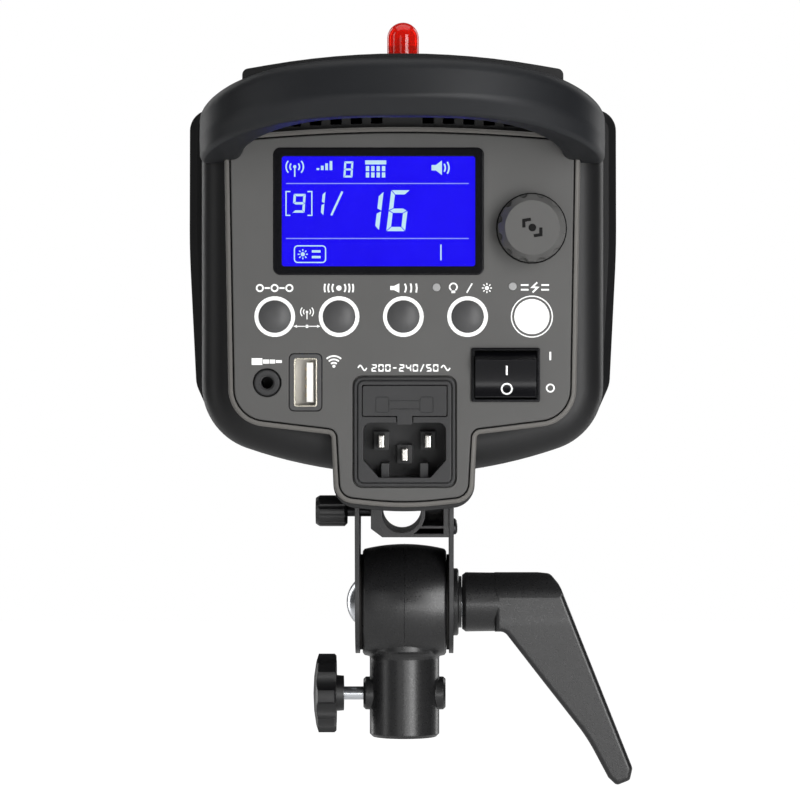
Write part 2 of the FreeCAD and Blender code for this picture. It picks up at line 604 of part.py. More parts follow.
def inlet_body():
    flange = slab("Y", rectangle(INLET_X, INLET_Z, 30.1, 32.5, 2.6), back(-0.6), back(INLET_SEAT))
    flange = flange.makeFillet(0.3, edges_at(flange, "Y", back(-0.6)))
    raised = slab("Y", rectangle(INLET_X, INLET_Z, 27.9, 30.3, 1.8), back(-1.1), back(0))
    raised = raised.makeFillet(0.35, edges_at(raised, "Y", back(-1.1)))
    groove = slab("Y", rectangle(INLET_X, INLET_Z, 28.5, 30.9, 2.0), back(-1), back(-0.1))
    body = slab("Y", rectangle(INLET_X, INLET_Z, 28.5, 31.0, 2.0), back(INLET_SEAT), back(INLET_DEPTH))
    drawer_room = slab("Y", rectangle(INLET_X, DRAWER_Z, DRAWER_WIDTH + 0.5, DRAWER_HEIGHT + 0.5, 0.5),
                       back(-3), back(DRAWER_DEPTH + 0.5))
    tab_room = slab("Y", rectangle(INLET_X, 109.2, 5.1, 4.6, 0.4), back(-3), back(0.6))
    tabs = [box(INLET_X + x - 2.4, INLET_X + x + 2.4, back(INLET_DEPTH), back(INLET_DEPTH + 7), 99.6, 100.4)
            for x in (-9, 0, 9)]
    solid = join(cut(flange, groove), raised, body, *tabs)
    solid = cut(solid, inlet_recess(0, -3, RECESS_DEPTH), drawer_room, tab_room)
    floor = RECESS_DEPTH + 0.5
    bosses = [box(INLET_X + x - 2.3, INLET_X + x + 2.3, back(11.0), back(floor), z - 2.8, z + 2.8)
              for x, z in PIN_SPOTS]
    ribs = [box(INLET_X + x - 1.2, INLET_X + x + 1.2, back(3.6), back(floor), RECESS_Z - 8.4, RECESS_Z - 4.0)
            for x in (-5.8, 5.8)]
    pin_holes = [box(INLET_X + x - 1, INLET_X + x + 1, back(3.5), back(RECESS_DEPTH), z - 2, z + 2)
                 for x, z in PIN_SPOTS]
    return cut(join(solid, *bosses, *ribs), *pin_holes)


def inlet_pins():
    pins = []
    for x, z in PIN_SPOTS:
        pin = box(INLET_X + x - 1, INLET_X + x + 1, back(3.5), back(RECESS_DEPTH), z - 2, z + 2)
        pins.append(pin.makeFillet(0.5, edges_at(pin, "Y", back(3.5))))
    return Part.makeCompound(pins)


def fuse_drawer():
    tray = slab("Y", rectangle(INLET_X, DRAWER_Z, DRAWER_WIDTH, DRAWER_HEIGHT, 0.5),
                back(-1.2), back(DRAWER_DEPTH))
    tab = slab("Y", rectangle(INLET_X, 109.6, 4.5, 4.6, 0.4), back(-1.2), back(0.3))
    fuse_room = box(INLET_X - 11.2, INLET_X + 11.2, back(9.5), back(16.5), DRAWER_Z - 2.8, DRAWER_Z + 10)
    return cut(join(tray, tab), fuse_room)


def mains_fuse():
    """Glass cartridge fuse with its two end caps, in the drawer."""
    glass = rod((INLET_X - 10, back(13), DRAWER_Z + 0.1), "X", 2.4, 20)
    caps = [rod((INLET_X + x, back(13), DRAWER_Z + 0.1), "X", 2.6, 5) for x in (-10.2, 5.2)]
    return join(glass, *caps)


def usb_port():
    """Upright USB-A socket: a shell in a plastic frame flush with the panel, and the contact tongue."""
    frame = slab("Y", rectangle(USB_X, USB_Z, USB_WIDTH, USB_HEIGHT, 1.4), back(-0.1), back(PANEL_THICKNESS))
    frame = frame.makeFillet(0.2, edges_at(frame, "Y", back(-0.1)))
    shell = slab("Y", rectangle(USB_X, USB_Z, 6.9, 14.5, 0.7), back(-0.3), back(15))
    mouth = slab("Y", rectangle(USB_X, USB_Z, 6.1, 13.7, 0.4), back(-1), back(14))
    tongue = box(USB_X + 0.3, USB_X + 2.3, back(0.9), back(14.5), USB_Z - 5.9, USB_Z + 5.9)
    return join(cut(join(frame, shell), mouth), tongue)


def sync_jack():
    """3.5 mm socket whose round collar lies flush in a larger hole of the panel."""
    body = box(JACK_X - 4.6, JACK_X + 4.6, back(PANEL_THICKNESS), back(16), JACK_Z - 4.6, JACK_Z + 4.6)
    collar = turned((JACK_X, PANEL_Y, JACK_Z), "Y",
                    [(-0.4, 0), (-0.4, 3.55), (-0.1, 3.85), (5, 3.85), (5, 0)])
    mouth = rod((JACK_X, back(-1), JACK_Z), "Y", 2.25, 1.4)
    bore = rod((JACK_X, back(-3), JACK_Z), "Y", JACK_BORE_RADIUS, 17)
    return cut(join(body, collar), mouth, bore)


# ---- Carry handle ------------------------------------------------------------------------------------------
def handle_centre(angle):
    """Middle of the grip at an angle from its right root, 0, to its left root, 180."""
    swing = math.radians(angle)
    rise = (1 - abs(math.cos(swing)) ** 3) ** 0.68
    return vec(HANDLE_ROOT_X * math.cos(swing), back(-HANDLE_BOW * math.sin(swing)),
               HANDLE_ROOT_Z + HANDLE_RISE * rise)


def handle_section(centre, along, middle):
    """Closed section across the grip. Middle is 0 at a root and 1 half way."""
    up = (AXIS["Z"] - along * AXIS["Z"].dot(along)).normalize()
    outward = up.cross(along).normalize()
    points, radii = [], []
    for root, full in zip(HANDLE_ROOT, HANDLE_MIDDLE):
        out, rise, radius = [r + (f - r) * middle for r, f in zip(root, full)]
        points.append(centre + outward * out + up * rise)
        radii.append(radius)
    return rounded_loop(points, radii)


def carry_handle():
    """Bowed and crowned grip that grows backward out of the rear cover's upper corners."""
    step = 180 / HANDLE_SPANS
    wires = []
    for side in (1, -1):
        root = vec(side * HANDLE_ROOT_X, back(HANDLE_ROOT_DEPTH), HANDLE_ROOT_Z)
        section = handle_section(root, AXIS["Y"] * -side, 0)
        wires.append(section)
    for k in range(HANDLE_SPANS + 1):
        angle = step * k
        along = (handle_centre(min(angle + 2, 180)) - handle_centre(max(angle - 2, 0))).normalize()
        if k in (0, HANDLE_SPANS):
            along = AXIS["Y"] * (-1 if k == 0 else 1)
        middle = math.sin(math.radians(angle)) ** 2
        wires.insert(len(wires) - 1, handle_section(handle_centre(angle), along, middle))
    grip = Part.makeLoft(wires, True, False)
    return grip.cut(rear_forms())


# ---- Yoke, tilt joint, umbrella holder ---------------------------------------------------------------------
def yoke_bracket():
    """Folded steel strap: a top plate under the lamp and two arms with round ends at the tilt bolt."""
    top = YOKE_PLATE_HIGH
    outline = [(-ARM_TOP_HALF, top, 0), (-ARM_TOP_HALF, 72.0, 30.0), (-ARM_ROUND, TILT_Z + 6, 8.0),
               (-ARM_ROUND, TILT_Z - ARM_ROUND, ARM_ROUND - 0.01),
               (ARM_ROUND, TILT_Z - ARM_ROUND, ARM_ROUND - 0.01),
               (ARM_ROUND, TILT_Z + 6, 8.0), (ARM_TOP_HALF, 72.0, 30.0), (ARM_TOP_HALF, top, 0)]
    arms = [slab("X", outline, ARM_INSIDE, ARM_INSIDE + ARM_THICKNESS)]
    arms.append(mirror_x(arms[0]))
    plate = box(-ARM_INSIDE - ARM_THICKNESS, ARM_INSIDE + ARM_THICKNESS, -ARM_TOP_HALF, ARM_TOP_HALF,
                YOKE_PLATE_LOW, top)
    holes = [rod((-30, 0, TILT_Z), "X", TILT_BOLT_RADIUS, 60), rod((-30, 0, UMBRELLA_Z), "X", 2.6, 20)]
    holes += [rod((x, y, 80), "Z", SCREW_RADIUS + SCREW_GAP, 20) for x, y in YOKE_SCREW_SPOTS]
    holes += [rod((10, y, z), "X", SMALL_SCREW_RADIUS + SCREW_GAP, 10) for y, z in BLOCK_SCREW_SPOTS]
    return cut(join(plate, *arms), *holes)


def umbrella_block():
    """Cast block between the yoke arms: the umbrella bore in a round wall, and a ribbed pocket beside it."""
    half = UMBRELLA_BLOCK_HALF
    corners = [(-7.2, 67.3, 0.4), (ARM_INSIDE, 67.3, 0.2), (ARM_INSIDE, 84.0, 0.2), (-11.0, 84.0, 1.0),
               (-11.0, 70.1, 0.4)]
    block = slab("Y", corners, -half, half)
    bore = rod((UMBRELLA_X, -half - 1, UMBRELLA_Z), "Y", UMBRELLA_BORE_RADIUS, 2 * half + 2)
    wall = rod((UMBRELLA_X, -half - 1, UMBRELLA_Z), "Y", UMBRELLA_BORE_RADIUS + 1.4, 2 * half + 2)
    rib = box(0, 20, -half - 2, half, 70.2, 71.1)
    pocket = box(UMBRELLA_X + 2.5, 12.9, -half - 1, half - 4, 68.5, 82.2).cut([wall, rib])
    screw_hole = rod((-12, 0, UMBRELLA_Z), "X", UMBRELLA_SCREW_RADIUS + RUNNING_GAP, 6)
    holes = [rod((8.6, y, z), "X", SMALL_SCREW_RADIUS + SCREW_GAP, 8) for y, z in BLOCK_SCREW_SPOTS]
    return cut(block, bore, pocket, screw_hole, *holes)


def umbrella_tip():
    return rod((-9.4, 0, UMBRELLA_Z), "X", UMBRELLA_SCREW_RADIUS - 0.1, 1.5)


def umbrella_screw():
    return rod((-27.5, 0, UMBRELLA_Z), "X", UMBRELLA_SCREW_RADIUS, 27.5 - 9.45)


def umbrella_knob():
    """Small thumb knob with chamfered ends and shallow flutes."""
    start, end, radius = -29.6, -19.0, 5.2
    knob = turned((0, 0, UMBRELLA_Z), "X", [(start, 0), (start, radius - 0.9), (start + 1.4, radius),
                  (end - 1.0, radius), (end, radius - 1.0), (end, 0)])
    flutes = []
    for i in range(10):
        flute = rod((start - 1, 0, UMBRELLA_Z + radius + 1.2), "X", 1.5, 20.0)
        flutes.append(flute.rotate(vec(0, 0, UMBRELLA_Z), AXIS["X"], 36 * i))
    hole = rod((-27.5, 0, UMBRELLA_Z), "X", UMBRELLA_SCREW_RADIUS, 10)
    return cut(knob, hole, *flutes)


def tilt_bolt():
    """Carriage bolt across the yoke, with a domed head on the left."""
    outer = ARM_INSIDE + ARM_THICKNESS
    shank = rod((-outer, 0, TILT_Z), "X", TILT_BOLT_RADIUS, outer + 31.0)
    dome_radius = 9.8
    dome = Part.makeSphere(dome_radius, vec(-outer - 3.0 + dome_radius, 0, TILT_Z))
    dome = dome.common(rod((-outer - 4, 0, TILT_Z), "X", 6.9, 4.0))
    return join(shank, dome)


def friction_discs():
    disc = cut(rod((BARREL_HALF + DISC_GAP, 0, TILT_Z), "X", 15.9, ARM_INSIDE - BARREL_HALF - DISC_GAP),
               rod((0, 0, TILT_Z), "X", TILT_BOLT_RADIUS, 30))
    return Part.makeCompound([disc, mirror_x(disc)])


def lever_washer():
    outer = ARM_INSIDE + ARM_THICKNESS
    washer = turned((0, 0, TILT_Z), "X", [(outer, TILT_BOLT_RADIUS), (outer, 11.2), (outer + 1.3, 11.2),
                    (outer + 1.7, 10.6), (outer + 1.7, 8.6), (outer + 2.7, 8.6),
                    (outer + 2.7, TILT_BOLT_RADIUS)])
    return washer


def tilt_lever():
    """Clamp lever: a hub along the bolt, and an arm that hangs down and out and thins toward its end."""
    outline = [(44.0, 9.9, 0), (48.6, 9.3, 3.0), (51.8, 5.4, 5.0), (75.9, -55.0, 2.4),
               (75.0, -59.0, 1.4), (70.6, -60.8, 1.6), (67.8, -58.2, 1.6), (60.7, -44.8, 60.0),
               (45.1, -24.8, 60.0), (33.2, -9.4, 3.0), (30.0, -9.4, 0), (30.0, 9.9, 0)]
    corners = [(x, TILT_Z + z, radius) for x, z, radius in outline]
    arm = slab("Y", corners, -LEVER_HUB_RADIUS, LEVER_HUB_RADIUS)
    taper = [(-9.7, TILT_Z + 12, 0), (-9.7, TILT_Z - 6, 30.0), (-5.4, -18, 0), (5.4, -18, 0),
             (9.7, TILT_Z - 6, 30.0), (9.7, TILT_Z + 12, 0)]
    arm = arm.common(slab("X", taper, 20, 90))
    square_top = cut(box(20, 80, -10, 10, TILT_Z, TILT_Z + 20),
                     rod((20, 0, TILT_Z), "X", LEVER_HUB_RADIUS, 60))
    arm = cut(arm, square_top)
    long_edges = [e for e in arm.Edges if abs(e.CenterOfMass.y) > 4.5 and e.CenterOfMass.z < TILT_Z - 8]
    arm = arm.makeFillet(1.6, long_edges)
    hub = turned((0, 0, TILT_Z), "X", [(LEVER_START, 0), (LEVER_START, 9.0),
                 (LEVER_START + 1.2, LEVER_HUB_RADIUS), (43.0, 9.6), (48.2, 9.2), (50.2, 6.0), (50.2, 0)])
    bore = rod((LEVER_START - 1, 0, TILT_Z), "X", TILT_BOLT_RADIUS + RUNNING_GAP, 31.4 - LEVER_START + 1)
    return cut(join(hub, arm), bore)


# ---- Stand socket ------------------------------------------------------------------------------------------
def barrel():
    """Crowned cross barrel that the yoke turns about."""
    shoulder_x = BARREL_HALF - 0.6

    def at(x, radius):
        return vec(x, 0, TILT_Z + radius)
    run = [at(shoulder_x, BARREL_SHOULDER), at(BARREL_HALF, BARREL_SHOULDER - 0.8), at(BARREL_HALF, 0),
           at(-BARREL_HALF, 0), at(-BARREL_HALF, BARREL_SHOULDER - 0.8), at(-shoulder_x, BARREL_SHOULDER)]
    crown = Part.Arc(run[-1], at(0, BARREL_RADIUS), run[0]).toShape()
    edges = [crown] + [Part.LineSegment(p, q).toShape() for p, q in zip(run, run[1:])]
    return Part.Face(Part.Wire(edges)).revolve(vec(0, 0, TILT_Z), AXIS["X"], 360)


def stand_socket():
    neck = [(-18.6, SOCKET_RADIUS), (-17.6, SOCKET_RADIUS + 0.3), (-16.6, SOCKET_RADIUS + 0.9),
            (-15.8, SOCKET_RADIUS + 1.8), (-12.0, SOCKET_RADIUS + 1.8)]
    post = turned((0, 0, 0), "Z", [(0, 0), (0, SOCKET_RADIUS - 1.0), (1.0, SOCKET_RADIUS)]
                  + [(TILT_Z + along, radius) for along, radius in neck] + [(TILT_Z - 12.0, 0)])
    bosses = turned((0, 0, LOCK_Z), "X", [(-LOCK_BOSS_END, 0), (-LOCK_BOSS_END, LOCK_BOSS_RADIUS - 0.8),
                    (-LOCK_BOSS_END + 0.8, LOCK_BOSS_RADIUS), (LOCK_BOSS_END - 0.8, LOCK_BOSS_RADIUS),
                    (LOCK_BOSS_END, LOCK_BOSS_RADIUS - 0.8), (LOCK_BOSS_END, 0)])
    bore = rod((0, 0, -1), "Z", SOCKET_BORE_RADIUS, SOCKET_BORE_DEPTH + 1)
    bolt_hole = rod((-30, 0, TILT_Z), "X", TILT_BOLT_RADIUS + RUNNING_GAP, 60)
    lock_hole = rod((-20, 0, LOCK_Z), "X", LOCK_SCREW_RADIUS + RUNNING_GAP, 20)
    set_hole = rod((0, 0, LOCK_Z), "X", 2.4, 20)
    return cut(join(post, bosses, barrel()), bore, bolt_hole, lock_hole, set_hole)


def socket_set_screw():
    screw = rod((8.5, 0, LOCK_Z), "X", 2.4, 5.0)
    corner = 2.3 / 2
    angles = [math.radians(60 * i) for i in range(6)]
    hexagon = [(corner * math.cos(angle), LOCK_Z + corner * math.sin(angle), 0) for angle in angles]
    return cut(screw, slab("X", hexagon, 11.5, 14.0))


def stand_lock_tip():
    return rod((-10.2, 0, LOCK_Z), "X", LOCK_SCREW_RADIUS - 0.1, 1.7)


def stand_lock_screw():
    return rod((-27.5, 0, LOCK_Z), "X", LOCK_SCREW_RADIUS, 27.5 - 10.25)


def stand_lock_knob():
    """Star knob with shallow scallops, a bulging outer face and a short hub."""
    disc = turned((0, 0, LOCK_Z), "X", [(-30.4, 0), (-30.1, 6.0), (-29.4, 10.6),
                  (-28.6, STAR_RADIUS), (-23.3, STAR_RADIUS),
                  (-22.7, STAR_RADIUS - 0.6), (-22.7, 6.0), (-20.2, 5.8), (-20.2, 0)])
    scallops = []
    for i in range(STAR_LOBES):
        scallop = rod((-32, 0, LOCK_Z + STAR_RADIUS + 3.0), "X", 4.6, 12.0)
        scallops.append(scallop.rotate(vec(0, 0, LOCK_Z), AXIS["X"], 360 * (i + 0.5) / STAR_LOBES))
    hole = rod((-27.5, 0, LOCK_Z), "X", LOCK_SCREW_RADIUS, 10)
    return cut(disc, hole, *scallops)


# ---- Fasteners ---------------------------------------------------------------------------------------------
def pan_screw(radius, length):
    """Pan-head screw along +Z with its head, sized by the shank's radius, below the origin."""
    shank = rod((0, 0, 0), "Z", radius, length)
    outline = [(0, 0), (0, 1.75), (-0.55, 1.65), (-0.95, 1.15), (-1.05, 0)]
    head = turned((0, 0, 0), "Z", [(along * radius, out * radius) for along, out in outline])
    arm, slit = 0.85 * radius, 0.2 * radius
    cross = [box(-arm, arm, -slit, slit, -3, -0.4 * radius), box(-slit, slit, -arm, arm, -3, -0.4 * radius)]
    return cut(join(shank, head), *cross)


def case_screws():
    """The yoke's four screws into the housing, and the umbrella block's two."""
    screws = []
    for x, y in YOKE_SCREW_SPOTS:
        screw = pan_screw(SCREW_RADIUS, 8.0)
        screw.translate(vec(x, y, YOKE_PLATE_LOW))
        screws.append(screw)
    for y, z in BLOCK_SCREW_SPOTS:
        screw = pan_screw(SMALL_SCREW_RADIUS, 3.4).rotate(vec(0, 0, 0), AXIS["Y"], -90)
        screw.translate(vec(ARM_INSIDE + ARM_THICKNESS, y, z))
        screws.append(screw)
    return Part.makeCompound(screws)


# ---- Light and power ---------------------------------------------------------------------------------------
def reflector_dish():
    """Shallow pressed dish behind the flash tube, with a hole for the bulb."""
    dish = turned_front([(299.0, 19.0), (299.0, 47.0), (312.0, 60.6), (313.0, 60.6),
                         (300.2, 46.4), (300.2, 19.0)])
    return cut(dish, *[rod((x, back(298), z), "Y", 3.4, 4) for x, z in tube_leg_spots()])


def flash_tube():
    """Ring-shaped glass tube with two legs that go down through the posts."""
    ring = Part.makeTorus(TUBE_RING_RADIUS, TUBE_RADIUS, vec(0, back(TUBE_PLANE), OPTICAL_Z), AXIS["Y"])
    legs = [rod((x, back(296), z), "Y", 3.0, TUBE_PLANE - 296) for x, z in tube_leg_spots()]
    return join(ring, *legs)


def tube_leg_spots():
    return [(x, OPTICAL_Z - math.sqrt(TUBE_RING_RADIUS ** 2 - x ** 2)) for x in (-9, 9)]


def tube_posts():
    """Two ceramic sockets that hold the legs of the flash tube."""
    return Part.makeCompound([cut(rod((x, back(270), z), "Y", 6.0, 29.0), rod((x, back(296), z), "Y", 3.0, 5))
                              for x, z in tube_leg_spots()])


def lamp_socket():
    """Ceramic screw socket for the modelling bulb."""
    return turned_front([(228, 0), (228, 20), (262, 20), (262, 13.6), (234, 13.6), (234, 0)])


def modelling_bulb():
    """Tube-shaped modelling bulb: screw base and clear glass."""
    return turned_front([(236, 0), (236, 5), (240, 13.0), (262, 13.0), (266, 15.0), (305, 15.0), (311, 12.5),
                         (315, 7.0), (316, 0)])


def flash_capacitors():
    cans = []
    for x in (-18.0, 18.0):
        for z in (122.2, 157.6):
            can = rod((x, back(88), z), "Y", 17.0, 86.0)
            cans.append(can.makeFillet(1.5, edges_at(can, "Y", back(88)) + edges_at(can, "Y", back(174))))
    return Part.makeCompound(cans)


def power_board():
    board = box(-46, 46, back(46), back(232), BOARD_Z, BOARD_Z + BOARD_THICKNESS)
    sink = box(41, 45, back(95), back(170), BOARD_Z + BOARD_THICKNESS, 140)
    relay = box(-46, -38, back(100), back(125), BOARD_Z + BOARD_THICKNESS, 118)
    return join(board, sink, relay)


def transformer():
    core = box(-22, 22, back(180), back(216), BOARD_Z + BOARD_THICKNESS, 138)
    coil = slab("Y", rectangle(0, 121.0, 28, 26, 4), back(176), back(220))
    return join(core, coil)


def fan_frame():
    half = FAN_SIZE / 2
    low, high = FAN_Z - half, FAN_Z + half
    frame = slab("Y", rectangle(0, FAN_Z, FAN_SIZE, FAN_SIZE, 5.0),
                 back(FAN_START), back(FAN_START + FAN_DEPTH))
    throat = rod((0, back(FAN_START - 1), FAN_Z), "Y", half - 2.0, FAN_DEPTH + 2)
    y1 = back(FAN_START + FAN_DEPTH)
    hub = rod((0, y1 - 3, FAN_Z), "Y", 16.0, 3)
    spokes = [box(-half, half, y1 - 3, y1, FAN_Z - 1.5, FAN_Z + 1.5),
              box(-1.5, 1.5, y1 - 3, y1, low + 1, high - 1)]
    spokes = [s.common(rod((0, y1 - 3, FAN_Z), "Y", half - 1.0, 3)) for s in spokes]
    pin = rod((0, y1 - 12, FAN_Z), "Y", 1.5, 9.5)
    return join(cut(frame, throat), hub, *spokes, pin)


def fan_rotor():
    y0 = back(FAN_START + 2)
    hub = rod((0, y0, FAN_Z), "Y", 15.0, FAN_DEPTH - 6)
    blades = []
    for i in range(FAN_BLADES):
        blade = box(14, 36.5, y0 + 3, y0 + 5, FAN_Z - 9, FAN_Z + 9)
        blade = blade.rotate(vec(25, y0 + 8, FAN_Z), AXIS["X"], 38)
        blades.append(blade.rotate(vec(0, 0, FAN_Z), AXIS["Y"], 360 * i / FAN_BLADES))
    limit = rod((0, y0, FAN_Z), "Y", 36.8, FAN_DEPTH - 6)
    bore = rod((0, y0 + 6, FAN_Z), "Y", 1.5 + RUNNING_GAP, 20)
    return cut(join(hub, *blades).common(limit), bore)


# ---- Write every node --------------------------------------------------------------------------------------
NODES = {
    "stand_socket": stand_socket, "socket_set_screw": socket_set_screw, "stand_lock_tip": stand_lock_tip,
    "stand_lock_screw": stand_lock_screw, "stand_lock_knob": stand_lock_knob,
    "yoke_bracket": yoke_bracket, "tilt_bolt": tilt_bolt, "friction_discs": friction_discs,
    "lever_washer": lever_washer, "tilt_lever": tilt_lever, "umbrella_block": umbrella_block,
    "umbrella_tip": umbrella_tip, "umbrella_screw": umbrella_screw, "umbrella_knob": umbrella_knob,
    "main_housing": main_housing, "rear_cover": rear_cover, "side_cover_left": side_cover_left,
    "side_cover_right": side_cover_right, "top_cover": top_cover, "slave_dome": slave_dome,
    "slave_sensor": slave_sensor, "front_cover": front_cover, "mount_ring": mount_ring,
    "release_slider": release_slider, "carry_handle": carry_handle, "case_screws": case_screws,
    "control_panel": control_panel, "lcd_frame": lcd_frame, "lcd_window": lcd_window,
    "lcd_module": lcd_module,
    "control_board": control_board, "button_switches": button_switches, "encoder_body": encoder_body,
    "encoder_plunger": encoder_plunger, "dial_shaft": dial_shaft, "dial_knob": dial_knob,
    "status_light_pipes": status_light_pipes, "power_switch_body": power_switch_body,
    "power_rocker": power_rocker, "inlet_body": inlet_body, "inlet_pins": inlet_pins,
    "fuse_drawer": fuse_drawer, "mains_fuse": mains_fuse, "usb_port": usb_port, "sync_jack": sync_jack,
    "reflector_dish": reflector_dish, "flash_tube": flash_tube, "tube_posts": tube_posts,
    "lamp_socket": lamp_socket, "modelling_bulb": modelling_bulb, "flash_capacitors": flash_capacitors,
    "power_board": power_board, "transformer": transformer, "fan_frame": fan_frame, "fan_rotor": fan_rotor,
}


def main():
    os.makedirs("parts", exist_ok=True)
    for name, make in NODES.items():
        make().exportStep(f"parts/{name}.step")
    for index, name in enumerate(BUTTON_NAMES):
        button(index).exportStep(f"parts/{name}.step")


main()
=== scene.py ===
"""Looks of a monolight studio strobe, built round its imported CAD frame.

Blender units are metres, in the frame of the CAD: the control panel faces -Y, the flash tube +Y, and
+Z is up. Sizes of drawn marks and pieces are in millimetres, and the factor MM makes them metres.
"""
import bmesh
import bpy
import json
import math
from mathutils import Matrix, Vector
from mathutils.bvhtree import BVHTree


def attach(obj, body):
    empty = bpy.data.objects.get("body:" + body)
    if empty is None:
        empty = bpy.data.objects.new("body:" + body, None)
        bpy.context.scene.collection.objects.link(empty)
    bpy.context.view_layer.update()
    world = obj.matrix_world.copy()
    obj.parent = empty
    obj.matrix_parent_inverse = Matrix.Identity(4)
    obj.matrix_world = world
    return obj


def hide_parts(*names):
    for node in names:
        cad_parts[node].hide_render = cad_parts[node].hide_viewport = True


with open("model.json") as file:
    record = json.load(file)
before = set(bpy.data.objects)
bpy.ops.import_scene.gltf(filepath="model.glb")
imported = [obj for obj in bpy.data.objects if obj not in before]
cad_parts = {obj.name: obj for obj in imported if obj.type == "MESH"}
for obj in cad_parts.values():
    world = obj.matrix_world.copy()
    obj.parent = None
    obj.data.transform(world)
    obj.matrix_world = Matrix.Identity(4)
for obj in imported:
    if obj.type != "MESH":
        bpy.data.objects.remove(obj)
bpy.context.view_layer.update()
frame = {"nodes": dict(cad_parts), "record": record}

MM = 0.001
PANEL_FACE = -150.0             # Y of the control panel's outer face
DISPLAY_FACE = PANEL_FACE + 1.6  # Y of the lit display glass
DISPLAY_CORNER = (-36.0, 154.3)  # its lower left corner
PRINT_HEIGHT = 0.06             # how far a printed mark stands proud
PRINT_SUNK = 0.02               # and how far it reaches into what it is printed on
CURVE_STEP = 12                 # degrees between points on a drawn arc
BUTTON_PITCH, BUTTON_FIRST_X, BUTTON_Z = 19.15, -38.0, 139.5
DIAL_X, DIAL_Z, DIAL_HEIGHT = 38.5, 165.8, 9.6
SWITCH_X = 30.8
USB_X, USB_Z = -28.85, 119.9
INLET_X = 0.7
TILT_Z = 44.8
BARREL_RADIUS = 19.3


# ---- Materials -----------------------------------------------------------------------------------
def node(tree, kind, **inputs):
    """New shader node with the given input values; an underscore in a name stands for a space."""
    made = tree.nodes.new(kind)
    for name, value in inputs.items():
        made.inputs[name.replace("_", " ")].default_value = value
    return made


def link(tree, source, output, target, name):
    tree.links.new(source.outputs[output], target.inputs[name])


def noise(tree, coordinates, size, detail=3.0):
    """Noise whose features are about this many millimetres across."""
    made = node(tree, "ShaderNodeTexNoise", Scale=1 / (size * MM), Detail=detail, Roughness=0.55)
    link(tree, coordinates, "Object", made, "Vector")
    return made


def spread(tree, source, low, high, start=0.3, end=0.7):
    """Map a noise value to a range of numbers."""
    made = node(tree, "ShaderNodeMapRange", From_Min=start, From_Max=end, To_Min=low, To_Max=high)
    link(tree, source, "Fac", made, "Value")
    return made


def rim_tone(tree, coordinates, colours, level, tone):
    """Blend a second colour in on the near side of a Y level, and give back the node that blends it."""
    split = node(tree, "ShaderNodeSeparateXYZ")
    link(tree, coordinates, "Object", split, "Vector")
    share = node(tree, "ShaderNodeMapRange", From_Min=(level + 0.1) * MM, From_Max=(level - 0.1) * MM)
    tree.links.new(split.outputs["Y"], share.inputs["Value"])
    toned = node(tree, "ShaderNodeMix")
    toned.data_type = "RGBA"
    toned.inputs[7].default_value = (*tone, 1)
    tree.links.new(share.outputs[0], toned.inputs[0])
    tree.links.new(colours.outputs[2], toned.inputs[6])
    return toned


def finish(name, colour, roughness, metallic=0.0, tint=0.18, grain=0.35, depth=0.012, patch=22.0,
           edge=0.08, edge_radius=0.35, rim=None, **extra):
    """Moulded, cast or turned finish: fine grain, a drift of colour and gloss, and edges lightened in
    colour, part rubbed wear and part painted highlight.
    """
    material = bpy.data.materials.new(name)
    material.use_nodes = True
    tree = material.node_tree
    shader = tree.nodes["Principled BSDF"]
    shader.inputs["Metallic"].default_value = metallic
    for key, value in extra.items():
        shader.inputs[key.replace("_", " ")].default_value = value
    coordinates = node(tree, "ShaderNodeTexCoord")

    drift = noise(tree, coordinates, patch)
    fine = noise(tree, coordinates, grain, detail=5.0)
    colours = node(tree, "ShaderNodeMix")
    colours.data_type = "RGBA"
    colours.inputs[6].default_value = (*[c * (1 - tint) for c in colour], 1)
    colours.inputs[7].default_value = (*[min(1.0, c * (1 + tint)) for c in colour], 1)
    blend_share = node(tree, "ShaderNodeMath", Value=0.0)
    blend_share.operation = "ADD"
    drift_share = spread(tree, drift, 0.0, 0.7)
    fine_share = spread(tree, fine, 0.0, 0.3)
    tree.links.new(drift_share.outputs[0], blend_share.inputs[0])
    tree.links.new(fine_share.outputs[0], blend_share.inputs[1])
    tree.links.new(blend_share.outputs[0], colours.inputs[0])

    if rim:
        colours = rim_tone(tree, coordinates, colours, *rim)
    # Edges are lightened in colour where the bevel bends the normal: part rubbed wear, part painted
    # highlight.
    bevel = node(tree, "ShaderNodeBevel", Radius=edge_radius * MM)
    bevel.samples = 4
    facing = node(tree, "ShaderNodeNewGeometry")
    bend = node(tree, "ShaderNodeVectorMath")
    bend.operation = "DOT_PRODUCT"
    tree.links.new(bevel.outputs[0], bend.inputs[0])
    tree.links.new(facing.outputs["Normal"], bend.inputs[1])
    edge_wear_and_highlight = node(tree, "ShaderNodeMapRange", From_Min=0.995, From_Max=0.85, To_Min=0.0, To_Max=edge)
    tree.links.new(bend.outputs["Value"], edge_wear_and_highlight.inputs["Value"])
    wear_and_highlight_tone = node(tree, "ShaderNodeMix")
    wear_and_highlight_tone.data_type = "RGBA"
    wear_and_highlight_tone.inputs[7].default_value = (*[min(1.0, c * 1.8 + 0.03) for c in colour], 1)
    tree.links.new(edge_wear_and_highlight.outputs[0], wear_and_highlight_tone.inputs[0])
    tree.links.new(colours.outputs[2], wear_and_highlight_tone.inputs[6])
    tree.links.new(wear_and_highlight_tone.outputs[2], shader.inputs["Base Color"])

    gloss = spread(tree, fine, roughness - 0.05, roughness + 0.06)
    tree.links.new(gloss.outputs[0], shader.inputs["Roughness"])
    bump = node(tree, "ShaderNodeBump", Strength=0.6, Distance=depth * MM)
    link(tree, fine, "Fac", bump, "Height")
    tree.links.new(bevel.outputs[0], bump.inputs["Normal"])
    tree.links.new(bump.outputs[0], shader.inputs["Normal"])
    return material


